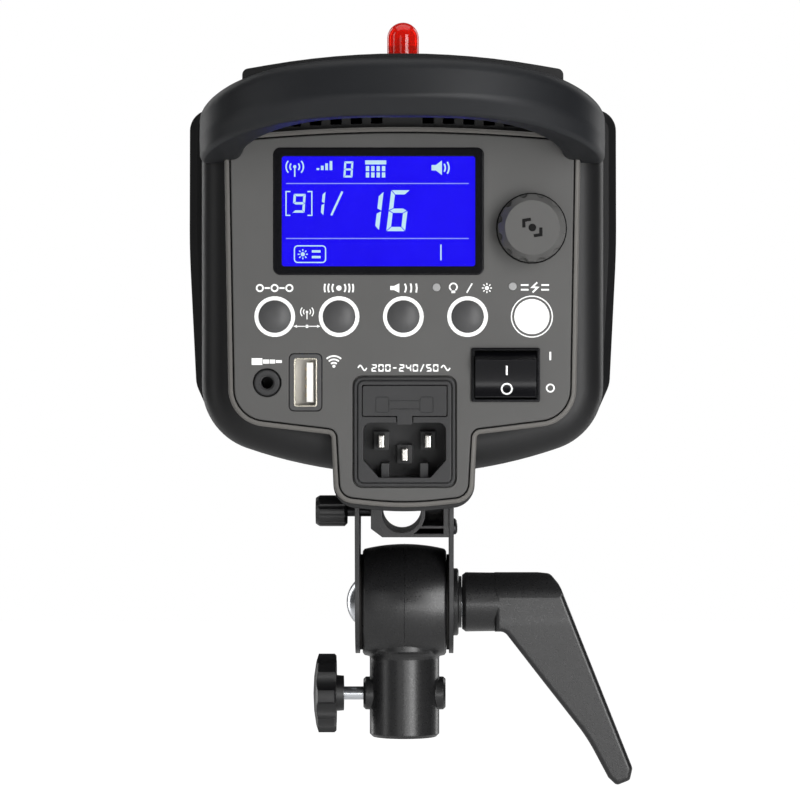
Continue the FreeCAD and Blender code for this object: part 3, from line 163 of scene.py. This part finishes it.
def lit(name, colour, light, strength, tint=0.1, patch=14.0, shine=0.5):
    """Plastic or print that gives off light, a little unevenly."""
    material = bpy.data.materials.new(name)
    material.use_nodes = True
    tree = material.node_tree
    shader = tree.nodes["Principled BSDF"]
    shader.inputs["Roughness"].default_value = 0.4
    shader.inputs["Specular IOR Level"].default_value = shine
    shader.inputs["Emission Strength"].default_value = strength
    coordinates = node(tree, "ShaderNodeTexCoord")
    drift = noise(tree, coordinates, patch)
    for socket, base in (("Base Color", colour), ("Emission Color", light)):
        mixed = node(tree, "ShaderNodeMix")
        mixed.data_type = "RGBA"
        mixed.inputs[6].default_value = (*[c * (1 - tint) for c in base], 1)
        mixed.inputs[7].default_value = (*[min(1.0, c * (1 + tint)) for c in base], 1)
        link(tree, drift, "Fac", mixed, "Factor")
        tree.links.new(mixed.outputs[2], shader.inputs[socket])
    return material


def clear(name, colour, roughness, transmission, ior=1.45, painted_glow=0.0):
    """Clear or tinted glass or plastic with faint handling marks in its polish, and a painted glow of its
    own colour where one is given.
    """
    material = bpy.data.materials.new(name)
    material.use_nodes = True
    tree = material.node_tree
    shader = tree.nodes["Principled BSDF"]
    shader.inputs["IOR"].default_value = ior
    shader.inputs["Transmission Weight"].default_value = transmission
    shader.inputs["Emission Color"].default_value = (*colour, 1)
    shader.inputs["Emission Strength"].default_value = painted_glow
    coordinates = node(tree, "ShaderNodeTexCoord")
    smears = noise(tree, coordinates, 6.0, detail=4.0)
    gloss = spread(tree, smears, roughness, roughness + 0.06)
    tree.links.new(gloss.outputs[0], shader.inputs["Roughness"])
    colours = node(tree, "ShaderNodeMix")
    colours.data_type = "RGBA"
    colours.inputs[6].default_value = (*[c * 0.94 for c in colour], 1)
    colours.inputs[7].default_value = (*colour, 1)
    link(tree, smears, "Fac", colours, "Factor")
    tree.links.new(colours.outputs[2], shader.inputs["Base Color"])
    return material


DULL = 0.3                      # specular level of the matt plastics
MATERIALS = {
    "casing_black": finish("casing_black", (0.007, 0.007, 0.0075), 0.45, Specular_IOR_Level=DULL,
                           rim=(PANEL_FACE + 1.0, (0.11, 0.105, 0.098))),
    "side_black": finish("side_black", (0.006, 0.006, 0.0065), 0.45, Specular_IOR_Level=0.2),
    "handle_black": finish("handle_black", (0.009, 0.0098, 0.0115), 0.5, grain=0.25, depth=0.006, edge=0.0,
                           Specular_IOR_Level=DULL),
    "panel_grey": finish("panel_grey", (0.078, 0.077, 0.075), 0.5, tint=0.06, grain=0.3, depth=0.008,
                         Specular_IOR_Level=DULL),
    "housing_metal": finish("housing_metal", (0.02, 0.02, 0.021), 0.5, grain=0.6, depth=0.03),
    "ring_metal": finish("ring_metal", (0.5, 0.5, 0.51), 0.3, metallic=1.0, tint=0.06, depth=0.004),
    "dish_metal": finish("dish_metal", (0.8, 0.8, 0.79), 0.22, metallic=1.0, tint=0.05, depth=0.004),
    "bracket_steel": finish("bracket_steel", (0.014, 0.014, 0.015), 0.36, grain=0.5, depth=0.02),
    "cast_black": finish("cast_black", (0.01, 0.01, 0.0105), 0.3, grain=0.5, depth=0.012, edge_radius=0.5),
    "bright_steel": finish("bright_steel", (0.62, 0.64, 0.67), 0.2, metallic=1.0, tint=0.05, depth=0.003),
    "black_screws": finish("black_screws", (0.03, 0.03, 0.032), 0.35, metallic=0.8, tint=0.1, depth=0.004),
    "friction_fibre": finish("friction_fibre", (0.012, 0.011, 0.01), 0.8, grain=0.4, depth=0.04),
    "knob_black": finish("knob_black", (0.005, 0.005, 0.0055), 0.35, depth=0.008),
    "gloss_black": finish("gloss_black", (0.003, 0.003, 0.004), 0.2, tint=0.1, depth=0.002, edge=0.02,
                          Specular_IOR_Level=0.2),
    "display_glass": clear("display_glass", (0.97, 0.98, 1.0), 0.02, 1.0, ior=1.1),
    "display_blue": lit("display_blue", (0.002, 0.002, 0.01), (0.014, 0.006, 0.95), 1.0, shine=0.0),
    "button_grey": finish("button_grey", (0.06, 0.06, 0.061), 0.4, tint=0.08, depth=0.006,
                          Specular_IOR_Level=DULL),
    "button_white": lit("button_white", (0.9, 0.9, 0.9), (1.0, 1.0, 1.0), 0.75, tint=0.02),
    "light_grey": finish("light_grey", (0.3, 0.3, 0.3), 0.35, tint=0.08, depth=0.004),
    "inlet_black": finish("inlet_black", (0.027, 0.027, 0.028), 0.42, depth=0.008, Specular_IOR_Level=DULL),
    "plated_pins": finish("plated_pins", (0.72, 0.7, 0.66), 0.25, metallic=1.0, tint=0.08, depth=0.003),
    "usb_metal": finish("usb_metal", (0.72, 0.68, 0.58), 0.28, metallic=1.0, tint=0.08, depth=0.004),
    # The red dome gives off a faint glow of its own colour: painted light.
    "dome_red": clear("dome_red", (0.9, 0.02, 0.008), 0.05, 0.7, painted_glow=0.1),
    "sensor_dark": finish("sensor_dark", (0.05, 0.006, 0.006), 0.15, depth=0.002),
    "tube_glass": clear("tube_glass", (0.95, 0.95, 0.92), 0.25, 0.7),
    "bulb_glass": clear("bulb_glass", (0.95, 0.95, 0.93), 0.3, 0.5),
    "ceramic_white": finish("ceramic_white", (0.75, 0.73, 0.68), 0.3, tint=0.05, depth=0.006, edge=0.1),
    "board_green": finish("board_green", (0.02, 0.13, 0.05), 0.35, depth=0.01),
    "capacitor_blue": finish("capacitor_blue", (0.02, 0.035, 0.13), 0.3, tint=0.08, depth=0.003),
    "core_steel": finish("core_steel", (0.3, 0.29, 0.27), 0.45, metallic=0.9, grain=0.8, depth=0.03),
    "fan_black": finish("fan_black", (0.012, 0.012, 0.012), 0.45, depth=0.006),
}
# The white print gives off a faint glow of its own: painted light that keeps it bright in shade.
GLOWING_PRINT_WHITE = lit("glowing_print_white", (0.8, 0.8, 0.79), (1.0, 1.0, 0.98), 0.15, tint=0.04, patch=3.0)
PRINT_BLACK = finish("print_black", (0.004, 0.004, 0.004), 0.5, tint=0.1, depth=0.002,
                     Specular_IOR_Level=0.1)
DISPLAY_WHITE = lit("display_white", (0.03, 0.04, 0.05), (0.58, 0.84, 0.93), 0.95, tint=0.04, patch=3.0,
                    shine=0.0)
DISPLAY_LINE = lit("display_line", (0.02, 0.02, 0.05), (0.3, 0.36, 0.95), 0.9, tint=0.06, patch=3.0,
                   shine=0.0)
USB_WHITE = finish("usb_white", (0.8, 0.79, 0.75), 0.35, tint=0.04, depth=0.003, edge=0.1)
CONTACT_GOLD = finish("contact_gold", (0.8, 0.6, 0.28), 0.25, metallic=1.0, tint=0.06, depth=0.002)


def paint_frame():
    """Give every CAD node the finish of its material slot."""
    for part in frame["record"]["subparts"]:
        cad = frame["nodes"][part["node"]]
        cad.data.materials.clear()
        cad.data.materials.append(MATERIALS[part["material_slot"]])


# ---- Drawing thin marks --------------------------------------------------------------------------
# A mark is a list of faces, and a face a list of (x, z) points in millimetres, seen from the panel's side.
def arc(x, z, radius, start=0, end=360):
    """Points along an arc, from one angle to another. A full turn leaves out its last point."""
    count = max(2, round(abs(end - start) / CURVE_STEP))
    last = count if abs(end - start) < 360 else count - 1
    angles = [math.radians(start + (end - start) * i / count) for i in range(last + 1)]
    return [(x + radius * math.cos(a), z + radius * math.sin(a)) for a in angles]


def stroke(points, width, closed=False):
    """Ribbon of even width along a line of points."""
    places = [Vector(p) for p in points]
    count = len(places)
    left, right = [], []
    for i, here in enumerate(places):
        before = places[i - 1] if closed or i else here - (places[1] - here)
        after = places[(i + 1) % count] if closed or i < count - 1 else here + (here - places[i - 1])
        into, out = (here - before).normalized(), (after - here).normalized()
        side = Vector((-(into + out).y, (into + out).x)).normalized()
        reach = width / 2 / max(0.35, side.dot(Vector((-into.y, into.x))))
        left.append(tuple(here + side * reach))
        right.append(tuple(here - side * reach))
    steps = range(count if closed else count - 1)
    return [[left[i], left[(i + 1) % count], right[(i + 1) % count], right[i]] for i in steps]


def ring(x, z, radius, width):
    return stroke(arc(x, z, radius), width, closed=True)


def disc(x, z, radius):
    return [arc(x, z, radius)]


def block(x0, x1, z0, z1):
    return [[(x0, z0), (x1, z0), (x1, z1), (x0, z1)]]


def rounded_frame(x0, x1, z0, z1, radius, width):
    """Outline of a rounded rectangle."""
    points = []
    for x, z, start in ((x1 - radius, z1 - radius, 0), (x0 + radius, z1 - radius, 90),
                        (x0 + radius, z0 + radius, 180), (x1 - radius, z0 + radius, 270)):
        points += arc(x, z, radius, start, start + 90)
    return stroke(points, width, closed=True)


SEGMENTS = {"0": "abcdef", "1": "bc", "2": "abged", "4": "fgbc", "5": "afgcd", "6": "afgedc",
            "8": "abcdefg", "9": "abcdfg", "-": "g"}


def digit(value, x, z, width, height, bar, slant=0.0):
    """Numeral of mitred bars with fine gaps. The slant is the sideways lean in a whole height."""
    half, gap = height / 2, bar * 0.12
    shapes = {
        "a": [(gap, height), (width - gap, height), (width - bar - gap, height - bar),
              (bar + gap, height - bar)],
        "f": [(0, height - gap), (bar, height - bar - gap), (bar, half + bar / 2 + gap), (0, half + gap)],
        "g": [(2 * gap, half), (bar + gap, half + bar / 2), (width - bar - gap, half + bar / 2),
              (width - 2 * gap, half), (width - bar - gap, half - bar / 2), (bar + gap, half - bar / 2)],
    }
    shapes["d"] = [(a, height - b) for a, b in shapes["a"]]
    shapes["b"] = [(width - a, b) for a, b in shapes["f"]]
    shapes["e"] = [(a, height - b) for a, b in shapes["f"]]
    shapes["c"] = [(width - a, height - b) for a, b in shapes["f"]]
    return [[(x + a + slant * b / height, z + b) for a, b in shapes[name]] for name in SEGMENTS[value]]


def moved(faces, x, z, turn=0.0):
    """The same faces turned by some degrees about the origin, then shifted."""
    c, s = math.cos(math.radians(turn)), math.sin(math.radians(turn))
    return [[(x + a * c - b * s, z + a * s + b * c) for a, b in face] for face in faces]


def piece(name, made, material, body, replaced=()):
    """Finish a mesh as a named piece that moves with a body."""
    bmesh.ops.recalc_face_normals(made, faces=made.faces)
    mesh = bpy.data.meshes.new(name)
    made.to_mesh(mesh)
    made.free()
    made_object = bpy.data.objects.new(name, mesh)
    bpy.context.scene.collection.objects.link(made_object)
    mesh.materials.append(material)
    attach(made_object, body)
    for cad_node in replaced:
        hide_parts(cad_node)
    return made_object


def sheet_mesh(faces, level):
    """Flat mesh of the faces at a Y level, with shared corners welded."""
    made = bmesh.new()
    for face in faces:
        made.faces.new([made.verts.new((x * MM, level * MM, z * MM)) for x, z in face])
    bmesh.ops.remove_doubles(made, verts=made.verts, dist=0.004 * MM)
    return made


def thicken(made, height):
    """Close a flat mesh to a thin solid that stands toward the viewer by a height."""
    grown = bmesh.ops.extrude_face_region(made, geom=list(made.faces), use_keep_orig=True)
    tops = [v for v in grown["geom"] if isinstance(v, bmesh.types.BMVert)]
    bmesh.ops.translate(made, verts=tops, vec=(0, -height * MM, 0))


def mark(name, faces, level, material=GLOWING_PRINT_WHITE, body="lamp", height=PRINT_HEIGHT,
         sunk=PRINT_SUNK):
    """Thin solid mark on a flat place at a Y level."""
    made = sheet_mesh(faces, level + sunk)
    thicken(made, height + sunk)
    return piece(name, made, material, body)


def draped_mark(name, faces, cad_node, material, body):
    """Thin solid mark laid on a curved CAD face, from the viewer's side."""
    cad = frame["nodes"][cad_node]
    corners = [cad.matrix_world @ v.co for v in cad.data.vertices]
    tree = BVHTree.FromPolygons(corners, [list(p.vertices) for p in cad.data.polygons])
    made = sheet_mesh(faces, 0)
    for vert in made.verts:
        hit = tree.ray_cast(Vector((vert.co.x, -0.3, vert.co.z)), Vector((0, 1, 0)))[0]
        vert.co.y = hit.y + PRINT_SUNK * MM
    thicken(made, PRINT_HEIGHT + PRINT_SUNK)
    return piece(name, made, material, body)


# ---- Marks on the panel --------------------------------------------------------------------------
def button_rings():
    """White rings round the four grey buttons, and a finer one round the lit button."""
    for i in range(4):
        x = BUTTON_FIRST_X + BUTTON_PITCH * i
        mark(f"button_ring_{i + 1}", ring(x, BUTTON_Z, 5.47, 1.2), PANEL_FACE)
    lit_x = BUTTON_FIRST_X + BUTTON_PITCH * 4
    mark("button_ring_5", ring(lit_x, BUTTON_Z, 6.1, 0.35), PANEL_FACE)
    mark("button_ring_5_inner", ring(lit_x, BUTTON_Z, 5.07, 0.34), PANEL_FACE)


def icon_group(x, z):
    """Three linked rings."""
    faces = []
    for i in (-1, 0, 1):
        faces += ring(x + 4.4 * i, z, 0.95, 0.5)
    return faces + block(x - 3.0, x - 1.4, z - 0.25, z + 0.25) + block(x + 1.4, x + 3.0, z - 0.25, z + 0.25)


def icon_sensor(x, z):
    """A dot that receives waves from both sides."""
    faces = disc(x, z, 0.8)
    for radius, reach in ((2.0, 36), (3.2, 24), (4.3, 17)):
        faces += stroke(arc(x, z, radius, -reach, reach), 0.5)
        faces += stroke(arc(x, z, radius, 180 - reach, 180 + reach), 0.5)
    return faces


def icon_speaker(x, z):
    """A horn and the sound that leaves it."""
    faces = [[(x - 4.4, z - 0.6), (x - 3.3, z - 0.6), (x - 3.3, z + 0.6), (x - 4.4, z + 0.6)],
             [(x - 3.3, z - 0.6), (x - 1.7, z - 1.4), (x - 1.7, z + 1.4), (x - 3.3, z + 0.6)]]
    for radius, reach in ((2.3, 34), (3.9, 20), (5.5, 14)):
        faces += stroke(arc(x - 2.0, z, radius, -reach, reach), 0.5)
    return faces


def icon_bulb(x, z):
    """A bulb on its base."""
    return (stroke(arc(x, z + 0.3, 1.1, -55, 235), 0.45) + block(x - 0.6, x + 0.6, z - 1.1, z - 0.75)
            + block(x - 0.6, x + 0.6, z - 1.5, z - 1.25))


def icon_sun(x, z):
    """A disc with eight rays."""
    faces = disc(x, z, 0.62)
    for i in range(8):
        c, s = math.cos(math.radians(45 * i)), math.sin(math.radians(45 * i))
        faces += stroke([(x + 0.95 * c, z + 0.95 * s), (x + 1.5 * c, z + 1.5 * s)], 0.34)
    return faces


def icon_bolt(x, z):
    """A lightning bolt between two pairs of dashes."""
    faces = stroke([(x + 0.7, z + 1.5), (x - 0.8, z + 0.05), (x + 0.8, z - 0.05), (x - 0.7, z - 1.5)], 0.5)
    for side in (-1, 1):
        for rise in (-0.7, 0.7):
            a, b = sorted((x + side * 1.9, x + side * 4.2))
            faces += block(a, b, z + rise - 0.25, z + rise + 0.25)
    return faces


def icon_jack_plug(x, z):
    """A plug that lies on its side, its tip to the right."""
    return (block(x - 4.6, x - 1.4, z - 1.0, z + 1.0) + block(x - 1.2, x + 0.6, z - 0.6, z + 0.6)
            + block(x + 0.8, x + 2.4, z - 0.6, z + 0.6) + block(x + 2.6, x + 4.4, z - 0.42, z + 0.42))


def icon_waves(x, z):
    """A dot below three widening arcs."""
    faces = disc(x, z, 0.45)
    for radius in (1.25, 2.25, 3.25):
        faces += stroke(arc(x, z - 0.2, radius, 48, 132), 0.5)
    return faces


def icon_aerial(x, z, size=1.0):
    """A dot on a mast, with two waves on either side."""
    half = 0.17 * size
    faces = disc(x, z, 0.42 * size) + block(x - half, x + half, z - 2.6 * size, z - 0.4 * size)
    for radius in (1.25, 2.25):
        for side in (0, 180):
            faces += stroke(arc(x, z, radius * size, side - 42, side + 42), 0.36 * size)
    return faces


def icon_channel(x, z):
    """An aerial over a double-ended arrow with a dot in its middle."""
    low = z - 3.7
    faces = icon_aerial(x, z + 0.6, 0.85) + disc(x, low, 0.5)
    faces += block(x - 3.0, x + 3.0, low - 0.12, low + 0.12)
    for side in (-1, 1):
        tip = x + side * 4.0
        faces.append([(tip, low), (tip - side * 1.0, low + 0.45), (tip - side * 1.0, low - 0.45)])
    return faces


def supply_rating(x, z):
    """A sine sign, two ranges of numbers and another sine sign."""
    def wave(start):
        points = [(start + 2.6 * i / 12, z + 1.1 + 0.75 * math.sin(2 * math.pi * i / 12))
                  for i in range(13)]
        return stroke(points, 0.42)

    faces = wave(x - 12.6)
    for k, sign in enumerate("200-240"):
        faces += digit(sign, x - 8.6 + 2.05 * k, z, 1.6, 2.2, 0.42)
    faces += stroke([(x + 6.0, z), (x + 7.0, z + 2.2)], 0.38)
    for k, sign in enumerate("50"):
        faces += digit(sign, x + 7.7 + 2.05 * k, z, 1.6, 2.2, 0.42)
    return faces + wave(x + 12.2)


def panel_marks():
    mark("mark_group", icon_group(-38.05, 148.0), PANEL_FACE)
    mark("mark_sensor", icon_sensor(-18.9, 148.0), PANEL_FACE)
    mark("mark_sound", icon_speaker(0.8, 148.0), PANEL_FACE)
    mark("mark_light", icon_bulb(15.2, 148.0) + stroke([(19.2, 146.6), (20.8, 149.4)], 0.42)
         + icon_sun(25.2, 148.0), PANEL_FACE)
    mark("mark_test", icon_bolt(39.5, 148.2), PANEL_FACE)
    mark("mark_sync", icon_jack_plug(-40.3, 126.1), PANEL_FACE)
    mark("mark_radio", icon_waves(-20.4, 124.7), PANEL_FACE)
    mark("mark_channel", icon_channel(-28.4, 140.3), PANEL_FACE)
    mark("mark_supply", supply_rating(-0.6, 123.1), PANEL_FACE)
    mark("mark_on", block(43.8, 44.35, 126.5, 129.0), PANEL_FACE)
    mark("mark_off", ring(44.1, 118.2, 1.1, 0.45), PANEL_FACE)


def rocker_marks():
    bar = []
    for i in range(5):
        bar += block(SWITCH_X, SWITCH_X + 0.55, 122.1 + 0.56 * i, 122.1 + 0.56 * (i + 1))
    draped_mark("rocker_on", bar, "power_rocker", GLOWING_PRINT_WHITE, "power_rocker")
    draped_mark("rocker_off", ring(SWITCH_X + 0.3, 118.0, 1.52, 0.48), "power_rocker", GLOWING_PRINT_WHITE,
                "power_rocker")


def dial_mark():
    """Dark arrows and a dot on the dial's end: turn either way, and press."""
    faces = stroke([(-1.9, 1.6), (-3.3, 0), (-1.9, -1.6)], 0.95) + disc(0, 0, 1.15)
    faces += stroke([(1.9, 1.6), (3.3, 0), (1.9, -1.6)], 0.95)
    mark("dial_mark", moved(faces, DIAL_X, DIAL_Z, -40), PANEL_FACE - DIAL_HEIGHT, PRINT_BLACK,
         "dial")


def painted_dial_shadow():
    """Dark ring on the panel under the dial, as wide as its shadow: a painted shadow."""
    mark("painted_dial_shadow", ring(DIAL_X, DIAL_Z, 9.05, 3.1), PANEL_FACE, PRINT_BLACK)


# ---- The display's picture -----------------------------------------------------------------------
def display_mark(name, faces, material=DISPLAY_WHITE):
    """Film on the display's glass. Faces are measured from the display's lower left corner."""
    mark(name, moved(faces, *DISPLAY_CORNER), DISPLAY_FACE, material, height=0.05,
         sunk=0.01)


def display_icons():
    """Top row: aerial with rising bars, channel number, group switches and loudspeaker."""
    display_mark("display_aerial", icon_aerial(3.9, 29.9, 1.15))
    bars = []
    for i in range(4):
        bars += block(10.4 + 1.3 * i, 11.2 + 1.3 * i, 28.9, 29.5 + 0.7 * i)
    display_mark("display_bars", bars)
    display_mark("display_channel", digit("8", 18.4, 26.7, 2.7, 4.8, 0.6, 0.3))
    switches = block(24.9, 31.2, 30.6, 31.8)
    for i in range(4):
        left = 25.1 + 1.6 * i
        switches += block(left, left + 1.0, 26.7, 28.2) + block(left, left + 1.0, 28.6, 30.1)
    display_mark("display_switches", switches)
    horn = [[(44.7, 28.8), (46.0, 28.8), (46.0, 30.4), (44.7, 30.4)],
            [(46.0, 28.8), (47.8, 27.4), (47.8, 31.8), (46.0, 30.4)]]
    horn += stroke(arc(46.6, 29.6, 2.2, -32, 32), 0.45) + stroke(arc(46.6, 29.6, 3.3, -32, 32), 0.45)
    display_mark("display_horn", horn)


def display_values():
    """Middle row: a bracketed group number, the fraction one, and the power, in large slanted numerals."""
    brackets = stroke([(2.6, 22.5), (1.3, 22.5), (1.3, 15.4), (2.6, 15.4)], 0.35)
    brackets += stroke([(7.7, 22.5), (9.0, 22.5), (9.0, 15.4), (7.7, 15.4)], 0.35)
    display_mark("display_brackets", brackets)
    display_mark("display_group", digit("9", 3.2, 16.2, 3.6, 5.6, 0.7, 0.4))
    display_mark("display_whole", digit("1", 10.4, 15.4, 2.0, 7.1, 0.8, 0.7))
    display_mark("display_stroke", stroke([(14.8, 15.4), (18.1, 22.5)], 0.6))
    display_mark("display_power_1", digit("1", 26.0, 10.9, 3.0, 11.6, 1.25, 1.4))
    display_mark("display_power_6", digit("6", 31.2, 10.7, 5.6, 12.2, 1.25, 1.5))


def display_lower():
    """Bottom row: a boxed modelling light sign and a level tick, and the lines between the rows."""
    display_mark("display_box", rounded_frame(3.8, 13.1, 1.35, 6.3, 1.0, 0.35))
    bars = block(9.0, 11.6, 2.6, 3.3) + block(9.0, 11.6, 4.3, 5.0)
    display_mark("display_sun", icon_sun(6.3, 3.8) + bars)
    display_mark("display_tick", block(47.3, 47.7, 2.0, 6.7))
    display_mark("display_line_upper", block(1.3, 55.8, 24.75, 25.05), DISPLAY_LINE)
    display_mark("display_line_lower", block(1.3, 55.8, 8.35, 8.65), DISPLAY_LINE)


# ---- Sockets and small parts ---------------------------------------------------------------------
def rounded_outline(x, z, width, height, radius):
    points = []
    w, h = width / 2 - radius, height / 2 - radius
    for dx, dz, start in ((w, h, 0), (-w, h, 90), (-w, -h, 180), (w, -h, 270)):
        points += arc(x + dx, z + dz, radius, start, start + 90)
    return points


def tube(name, outer, inner, near, far, material, replaced=()):
    """Ring-shaped solid between two outlines with the same number of points and two Y levels."""
    made = bmesh.new()
    loops = [[made.verts.new((x * MM, y * MM, z * MM)) for x, z in outline]
             for outline, y in ((outer, near), (outer, far), (inner, far), (inner, near))]
    count = len(outer)
    for first, second in zip(loops, loops[1:] + loops[:1]):
        for i in range(count):
            k = (i + 1) % count
            made.faces.new((first[i], first[k], second[k], second[i]))
    return piece(name, made, material, "lamp", replaced)


def usb_socket():
    """Dark frame, bright shell, white tongue and four contacts in place of the one-piece CAD socket."""
    face = PANEL_FACE - 0.1
    tube("usb_frame", rounded_outline(USB_X, USB_Z, 9.5, 16.8, 1.4),
         rounded_outline(USB_X, USB_Z, 6.9, 14.5, 0.7), face, face + 2.6, MATERIALS["button_grey"],
         ["usb_port"])
    tube("usb_shell", rounded_outline(USB_X, USB_Z, 6.88, 14.48, 0.7),
         rounded_outline(USB_X, USB_Z, 6.1, 13.7, 0.4), face - 0.2, face + 13.0, MATERIALS["usb_metal"],
         ["usb_port"])
    mark("usb_back", [rounded_outline(USB_X, USB_Z, 6.08, 13.68, 0.4)], face + 5.0, MATERIALS["core_steel"],
         height=0.8, sunk=0.0)
    mark("usb_tongue", block(USB_X + 0.3, USB_X + 2.3, USB_Z - 5.9, USB_Z + 5.9), face + 4.1, USB_WHITE,
         height=3.1, sunk=0.0)
    contacts = []
    for i in range(4):
        z = USB_Z - 3.9 + 2.6 * i
        contacts += block(USB_X + 0.05, USB_X + 0.28, z - 0.5, z + 0.5)
    mark("usb_contacts", contacts, face + 4.1, CONTACT_GOLD, height=2.6, sunk=0.0)


def fuse_relief():
    """Raised outline of a cartridge fuse on the drawer's face."""
    face, z = PANEL_FACE - 1.2, 113.2
    faces = []
    for side in (-1, 1):
        x = INLET_X + side * 6.6
        faces += rounded_frame(x - 1.95, x + 1.95, z - 2.3, z + 2.3, 0.7, 0.28)
    for low, high in ((1.1, 1.36), (-1.36, -1.1)):
        faces += block(INLET_X - 4.5, INLET_X + 4.5, z + low, z + high)
    mark("fuse_relief", faces, face, MATERIALS["inlet_black"], "fuse_drawer", height=0.16)


def cast_seam():
    """Parting line left by the mould round the middle of the cross barrel, clear of the post below."""
    made = bmesh.new()
    section = [(-0.22, BARREL_RADIUS - 0.1), (0.0, BARREL_RADIUS + 0.14), (0.22, BARREL_RADIUS - 0.1)]
    loops = []
    for angle in range(-40, 221, 5):
        c, s = math.cos(math.radians(angle)), math.sin(math.radians(angle))
        loops.append([made.verts.new((x * MM, r * c * MM, (TILT_Z + r * s) * MM)) for x, r in section])
    for first, second in zip(loops, loops[1:]):
        for i in range(3):
            k = (i + 1) % 3
            made.faces.new((first[i], first[k], second[k], second[i]))
    made.faces.new(loops[0])
    made.faces.new(loops[-1])
    piece("cast_seam", made, MATERIALS["cast_black"], "stand_adapter")


# ---- Camera, light and floor ---------------------------------------------------------------------
def area_light(name, place, target, width, height, power, colour=(1, 1, 1)):
    data = bpy.data.lights.new(name, "AREA")
    data.shape = "RECTANGLE"
    data.size, data.size_y = width, height
    data.energy = power
    data.color = colour
    light = bpy.data.objects.new(name, data)
    light.location = place
    light.rotation_euler = (Vector(target) - Vector(place)).to_track_quat("-Z", "Y").to_euler()
    bpy.context.scene.collection.objects.link(light)


def studio():
    scene = bpy.context.scene
    scene.view_settings.view_transform = "Standard"
    world = bpy.data.worlds.new("studio")
    scene.world = world
    world.use_nodes = True
    tree = world.node_tree
    glow = tree.nodes["Background"]
    glow.inputs["Color"].default_value = (1, 1, 1, 1)
    glow.inputs["Strength"].default_value = 0.07
    seen = node(tree, "ShaderNodeBackground", Color=(1, 1, 1, 1), Strength=1.0)
    choose = node(tree, "ShaderNodeMixShader")
    rays = node(tree, "ShaderNodeLightPath")
    link(tree, rays, "Is Camera Ray", choose, "Fac")
    tree.links.new(glow.outputs[0], choose.inputs[1])
    tree.links.new(seen.outputs[0], choose.inputs[2])
    tree.links.new(choose.outputs[0], tree.nodes["World Output"].inputs[0])

    middle = (0, -0.05, 0.13)
    area_light("front_right", (0.46, -0.95, 0.2), middle, 0.36, 1.0, 10)
    area_light("front_low", (0.14, -1.3, -0.1), middle, 0.35, 0.2, 1.4)
    area_light("front_left", (-0.4, -1.4, 0.12), middle, 0.3, 1.1, 1.5)
    area_light("overhead", (0.0, -0.1, 1.25), middle, 1.4, 1.0, 6)
    area_light("side_left", (-1.0, -0.45, 0.25), middle, 0.25, 1.2, 2)
    area_light("back_left", (-0.75, 0.75, 0.35), middle, 0.3, 1.2, 3)
    area_light("back_right", (0.75, 0.75, 0.35), middle, 0.3, 1.2, 3)


def paper():
    """White studio paper that reads as pure white from the camera and gives the lamp little light."""
    material = lit("floor_paper", (0.9, 0.9, 0.9), (1, 1, 1), 1.0, tint=0.01, patch=300.0)
    tree = material.node_tree
    rays = node(tree, "ShaderNodeLightPath")
    strength = node(tree, "ShaderNodeMapRange", To_Min=0.12, To_Max=1.0)
    link(tree, rays, "Is Camera Ray", strength, "Value")
    tree.links.new(strength.outputs[0], tree.nodes["Principled BSDF"].inputs["Emission Strength"])
    return material


def floor():
    """Wide pale sheet, well below the lamp."""
    made = bmesh.new()
    level, reach = -0.24, 4.0
    count = 24
    rows = []
    for i in range(count + 1):
        t = -1 + 2 * i / count
        rows.append([made.verts.new((s * reach, t * reach, level)) for s in (-1, -0.5, 0, 0.5, 1)])
    for near, far in zip(rows, rows[1:]):
        for k in range(4):
            made.faces.new((near[k], near[k + 1], far[k + 1], far[k]))
    mesh = bpy.data.meshes.new("floor")
    made.to_mesh(mesh)
    sheet = bpy.data.objects.new("floor", mesh)
    bpy.context.scene.collection.objects.link(sheet)
    sheet.data.materials.append(paper())


def camera():
    """Long lens, level with the middle of the lamp and square to its panel, a little to the right."""
    data = bpy.data.cameras.new("camera")
    data.lens = 188.8
    data.sensor_width = 36.0
    data.shift_x, data.shift_y = -0.0285, -0.0875
    data.clip_end = 50
    eye = bpy.data.objects.new("camera", data)
    eye.location = (0.0061, -1.4, 0.1355)
    eye.rotation_euler = (math.radians(90), 0, 0)
    bpy.context.scene.collection.objects.link(eye)
    bpy.context.scene.camera = eye


paint_frame()
button_rings()
panel_marks()
rocker_marks()
dial_mark()
painted_dial_shadow()
display_icons()
display_values()
display_lower()
usb_socket()
fuse_relief()
cast_seam()
studio()
floor()
camera()
